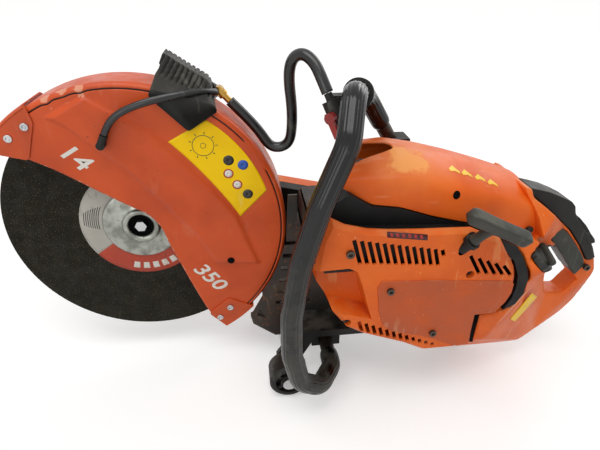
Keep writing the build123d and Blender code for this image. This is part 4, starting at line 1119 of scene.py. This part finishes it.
tankLook = dict(planeAt=(499, -140, -52), slopes=(0.3304, -0.2002), ridgeRadius=1.6,
                strip=[[(503.7, -63.3), (519.3, -77.3)], [(485.6, -108.0), (499.6, -120.0)]], lift=0.5,
                ridge=[(497.5, -138.6, -52), (477, -139.0, -86), (458, -138.6, -119)])
chevronLook = dict(places=[(389, 97), (404.5, 92), (421.5, 86), (437, 80)], half=6.4, lean=0.5, bow=1.8,
                   thick=1.35, fall=0.30, lift=0.35)
hoodHole = dict(at=(384.5, 77), radius=5.0, stretch=0.9, lift=0.3)
sidePlate = dict(corner=(295.5, 52.6), along=(47.5, -7.4), down=(1, -7.8), y=-150.25)
sideStripes = dict(count=6, corner=(299, 50.6), step=(7.0, -1.08), along=(3.6, -0.5), down=(1, -5.0),
                   y=-150.42)
shadeSheets = {         # y, then rows of (x, z)
    "gapShade": (-137.5, [[(423, -88), (423, -112), (425, -137)],
                          [(437, -84), (437, -110), (437, -140)]]),
    "slotShade": (-143.0, [[(397, 18), (397, -20)], [(430, 6), (430, -24)], [(461, -8), (461, -26)]]),
}
reliefShape = dict(outline=[(359, -50), (367, -38), (446, -41), (452, -48), (452, -60), (444, -71),
                            (417, -73), (414, -84), (414, -104), (404, -106), (374, -92), (363, -80)],
                   x=(352, 458), z=(-112, -32), y=-151.3, height=1.1, fall=(-2.0, 4.5), cut=-2.6)


def unitGrid(rows, columns, start=0):
    return np.meshgrid(np.linspace(start, 1, rows), np.linspace(start, 1, columns), indexing="ij")


def onTank(x, z):
    # the slanted face behind the tank's crease, a plane through three of its corners
    atX, atY, atZ = tankLook["planeAt"]
    return atY + tankLook["slopes"][0] * (x - atX) + tankLook["slopes"][1] * (z - atZ)


def slanted(corner, along, down):
    u, v = unitGrid(2, 2)
    return [corner[k] + along[k] * u + down[k] * v for k in (0, 1)]


def bodyMarks():
    # chevrons and a screw hole on the hood, a striped plate on the starter side: all plain shapes
    look = chevronLook
    for k, (cx, cz) in enumerate(look["places"]):
        u, v = unitGrid(17, 5, -1)
        x = cx + look["half"] * u - look["lean"] * v
        z = cz + look["bow"] * (0.55 - np.abs(u)) - look["fall"] * (x - cx)
        z = z + look["thick"] * v * (1.15 - 0.55 * np.abs(u))
        points = np.stack([x, onHood(x, z) - look["lift"], z + 0.25], -1)
        faceOut(makePiece("chevron%d" % k, points, gridFaces(17, 5).tolist(), "root", "chevronYellow",
                          tidy=False))
    # the screw hole is a flat black disc: painted shade of its inside
    x, z = discGrid(0.0, hoodHole["radius"], 33, hoodHole["at"], hoodHole["stretch"])
    flatPatch("hoodHole", x, z, onHood(x, z) - hoodHole["lift"], "root", "paintedShadeBlack")
    x, z = slanted(sidePlate["corner"], sidePlate["along"], sidePlate["down"])
    flatPatch("sidePlate", x, z, sidePlate["y"], "root", "labelDark")
    for k in range(sideStripes["count"]):
        corner = [a + k * b for a, b in zip(sideStripes["corner"], sideStripes["step"])]
        x, z = slanted(corner, sideStripes["along"], sideStripes["down"])
        flatPatch("sideStripe%d" % k, x, z, sideStripes["y"], "root", "labelRed", 0.08)


def gapShade():
    # dark sheets of painted shade behind the slot between the starter side and the tank, and behind the
    # short slots
    for name, (y, rows) in shadeSheets.items():
        x, z = np.moveaxis(np.array(rows, float), -1, 0)
        flatPatch(name, x, z, y, "root", "paintedShadeBlack", 0.8)


def tankMarks():
    # a yellow strip behind the crease, and a thin rounded tube along the crease in pale orange: a
    # painted highlight on the crease
    corners = np.array(tankLook["strip"], float)
    u, v = unitGrid(12, 6)
    place = sum(w[..., None] * corners[i, j] for w, i, j in
                (((1 - u) * (1 - v), 0, 0), ((1 - u) * v, 0, 1), (u * (1 - v), 1, 0), (u * v, 1, 1)))
    x, z = place[..., 0], place[..., 1]
    flatPatch("tankStrip", x, z, onTank(x, z) - tankLook["lift"], "root", "fadedYellow")

    def radius(angle, way):
        return tankLook["ridgeRadius"] * np.sqrt(np.sin(math.pi * way) + 0.01) + 0 * angle
    line = evenly(tankLook["ridge"], 60)
    tubePiece("tankCreaseHighlight", line, radius, 20, "root", "ridgeHighlightOrange")


def panelRelief():
    # a raised field on the panel: its height falls to nothing over a few mm inside its outline
    shape = reliefShape
    u, v = np.meshgrid(np.linspace(*shape["x"], 150), np.linspace(*shape["z"], 110), indexing="ij")
    depth = insideDepth(u, v, shape["outline"])
    y = shape["y"] - shape["height"] * smoothStep(depth, *shape["fall"])
    points = np.stack([u, y, v], -1)
    grid = gridFaces(150, 110)
    keep = (depth.reshape(-1)[grid] > shape["cut"]).all(axis=1)
    used, index = np.unique(grid[keep], return_inverse=True)
    piece = makePiece("panelRelief", points.reshape(-1, 3)[used], index.reshape(-1, 4).tolist(), "root",
                      "orangeSide", tidy=False)
    faceOut(piece)
    thicken(piece, 0.3)


bodyMarks()
gapShade()
tankMarks()
panelRelief()
print("body marked")


capShape = dict(at=(502.0, -129.0, -17.0), way=(0.62, -0.25, 0.744), radius=19.0, flutes=14,
                fluteDepth=0.055, around=112, rows=60,
                profile=[(0.0, 13.2), (0.50, 13.0), (0.62, 11.6), (0.72, 9.6), (0.90, 9.2), (0.985, 8.2),
                         (1.0, 6.4), (1.0, 2.6), (0.97, 0.8), (0.9, 0.4), (0.0, 0.4)],
                wing=(34.0, 8.4, 9.5), wingBase=10.0, wingTurn=0.5, wingWaist=0.18, wingCorner=0.6)


def fuelCap():
    # a profile of (share of the radius, height) turned round the cap's axis, its rim fluted, and a
    # rounded bar across it: radius = R * share * (1 - depth * |cos(flutes / 2 * angle)|^3 near the rim)
    shape = capShape
    way = unit(np.array(shape["way"]))
    side = unit(np.cross(way, (0.0, 0.0, 1.0)))
    side = side * math.cos(shape["wingTurn"]) + np.cross(way, side) * math.sin(shape["wingTurn"])
    across = np.cross(way, side)
    around, rows = shape["around"], shape["rows"]
    profile = evenly(smoothLine(shape["profile"], 200), rows)
    share, height = profile[:, 0], profile[:, 1]
    share = np.clip(share, 0.002, 1.0)
    angle = np.linspace(0, 2 * math.pi, around, endpoint=False)[:, None]
    flute = np.abs(np.cos(shape["flutes"] / 2 * angle)) ** 3 * smoothStep(share, 0.86, 0.97)
    radius = shape["radius"] * share * (1 - shape["fluteDepth"] * flute)
    middle = np.array(shape["at"])
    points = (middle + height[None, :, None] * way + (radius * np.cos(angle))[..., None] * side
              + (radius * np.sin(angle))[..., None] * across)
    faces = gridFaces(around, rows, closedRows=True).tolist()
    first = np.arange(around) * rows
    faces += [first.tolist(), (first + rows - 1).tolist()]
    cap = makePiece("fuelCap", points, faces, "cap", "capPlastic")
    length, wide, tall = shape["wing"]
    s = np.linspace(-1, 1, 40)
    end = np.sqrt(np.clip(1 - np.abs(s) ** 8, 0, 1))
    turn = np.linspace(0, 2 * math.pi, 32, endpoint=False)
    cosine, sine = softSquare(turn, shape["wingCorner"])
    waist = 1 - shape["wingWaist"] * (1 - s ** 2)
    points = (middle + (shape["wingBase"] + tall / 2) * way + (length / 2 * s)[:, None, None] * side
              + (wide / 2 * waist * end)[:, None, None] * cosine[None, :, None] * across
              + (tall / 2 * end)[:, None, None] * sine[None, :, None] * way)
    faces = gridFaces(40, 32, closedColumns=True).tolist()
    makePiece("fuelCapWing", points, faces, "cap", "capPlastic")
    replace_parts(cap, "fuel_cap")


fuelCap()
print("fuel cap turned")


stageLook = dict(floor=(0.8, 0.8, 0.79, 1), size=30.0, world=0.42, aim=(0.0, 0.0, 0.2),
                 glow=(0.5, 2.6, 0.36, 0.66))           # metres near and far, the strength there
lamps = {               # place, size, power
    "keyLamp": ((-0.3, -0.5, 1.9), (1.8, 1.0), 18),
    "fillLamp": ((-1.1, -1.8, 0.8), (1.2, 1.2), 8),
    "rimLamp": ((1.3, 1.2, 1.3), (1.0, 1.0), 8),
}


def paleStage():
    # what the camera sees of the floor is lifted to white by a plain glow, which leaves the shadow on it
    shader = Shader("paleFloor")
    path = shader.add("ShaderNodeLightPath")
    seen = shader.sums("MAXIMUM", path.outputs["Is Camera Ray"], path.outputs["Is Glossy Ray"])
    away = shader.add("ShaderNodeVectorMath")
    away.operation = "LENGTH"
    shader.join(shader.object, away.inputs[0])
    glow = shader.between(away.outputs["Value"], *stageLook["glow"])
    shader.join(shader.times(glow, seen), shader.surface.inputs["Emission Strength"])
    shader.surface.inputs["Emission Color"].default_value = (1, 1, 1, 1)
    shader.done(stageLook["floor"], 0.9, specular=0.0)
    rows = np.array([(-1, -1), (1, -1), (1, 1), (-1, 1)]) * stageLook["size"] / 2
    mesh = bpy.data.meshes.new("floor")
    mesh.from_pydata([(x, y, 0.0) for x, y in rows], [], [(0, 1, 2, 3)])
    mesh.materials.append(shader.material)
    addToScene("floor", mesh)


def areaLamp(name, place, size, power):
    lamp = bpy.data.lights.new(name, "AREA")
    lamp.shape = "RECTANGLE"
    lamp.size, lamp.size_y = size
    lamp.energy = power
    holder = addToScene(name, lamp)
    holder.location = place
    way = unit(np.subtract(stageLook["aim"], place))
    holder.rotation_euler = (math.acos(-way[2]), 0, math.atan2(way[1], way[0]) - math.pi / 2)


def lights():
    for name, look in lamps.items():
        areaLamp(name, *look)
    sky = bpy.data.worlds.new("studio")
    bpy.context.scene.world = sky
    sky.use_nodes = True
    nodes, links = sky.node_tree.nodes, sky.node_tree.links
    background = nodes["Background"]
    path = nodes.new("ShaderNodeLightPath")
    seen = path.outputs["Is Camera Ray"]
    for kind in ("Is Glossy Ray", "Is Transmission Ray"):
        either = nodes.new("ShaderNodeMath")
        either.operation = "MAXIMUM"
        links.new(seen, either.inputs[0])
        links.new(path.outputs[kind], either.inputs[1])
        seen = either.outputs[0]
    level = nodes.new("ShaderNodeMapRange")
    links.new(seen, level.inputs["Value"])
    level.inputs["To Min"].default_value = stageLook["world"]
    level.inputs["To Max"].default_value = 1.0
    links.new(level.outputs[0], background.inputs["Strength"])
    background.inputs["Color"].default_value = (1, 1, 1, 1)


cameraLook = dict(place=(145.9, -580.6, 317.3), azimuth=-7.0, elevation=29.92, lens=28.2, sensor=36.0)


def camera():
    data = bpy.data.cameras.new("camera")
    data.lens = cameraLook["lens"]
    data.sensor_width = cameraLook["sensor"]
    data.clip_start = 0.01
    holder = addToScene("camera", data)
    holder.location = world(cameraLook["place"])
    turn, rise = math.radians(cameraLook["azimuth"]), math.radians(cameraLook["elevation"])
    holder.rotation_euler = (math.pi / 2 - rise, 0, turn)
    bpy.context.scene.camera = holder


paleStage()
lights()
camera()
bpy.context.scene.view_settings.view_transform = "Standard"
bpy.context.view_layer.update()
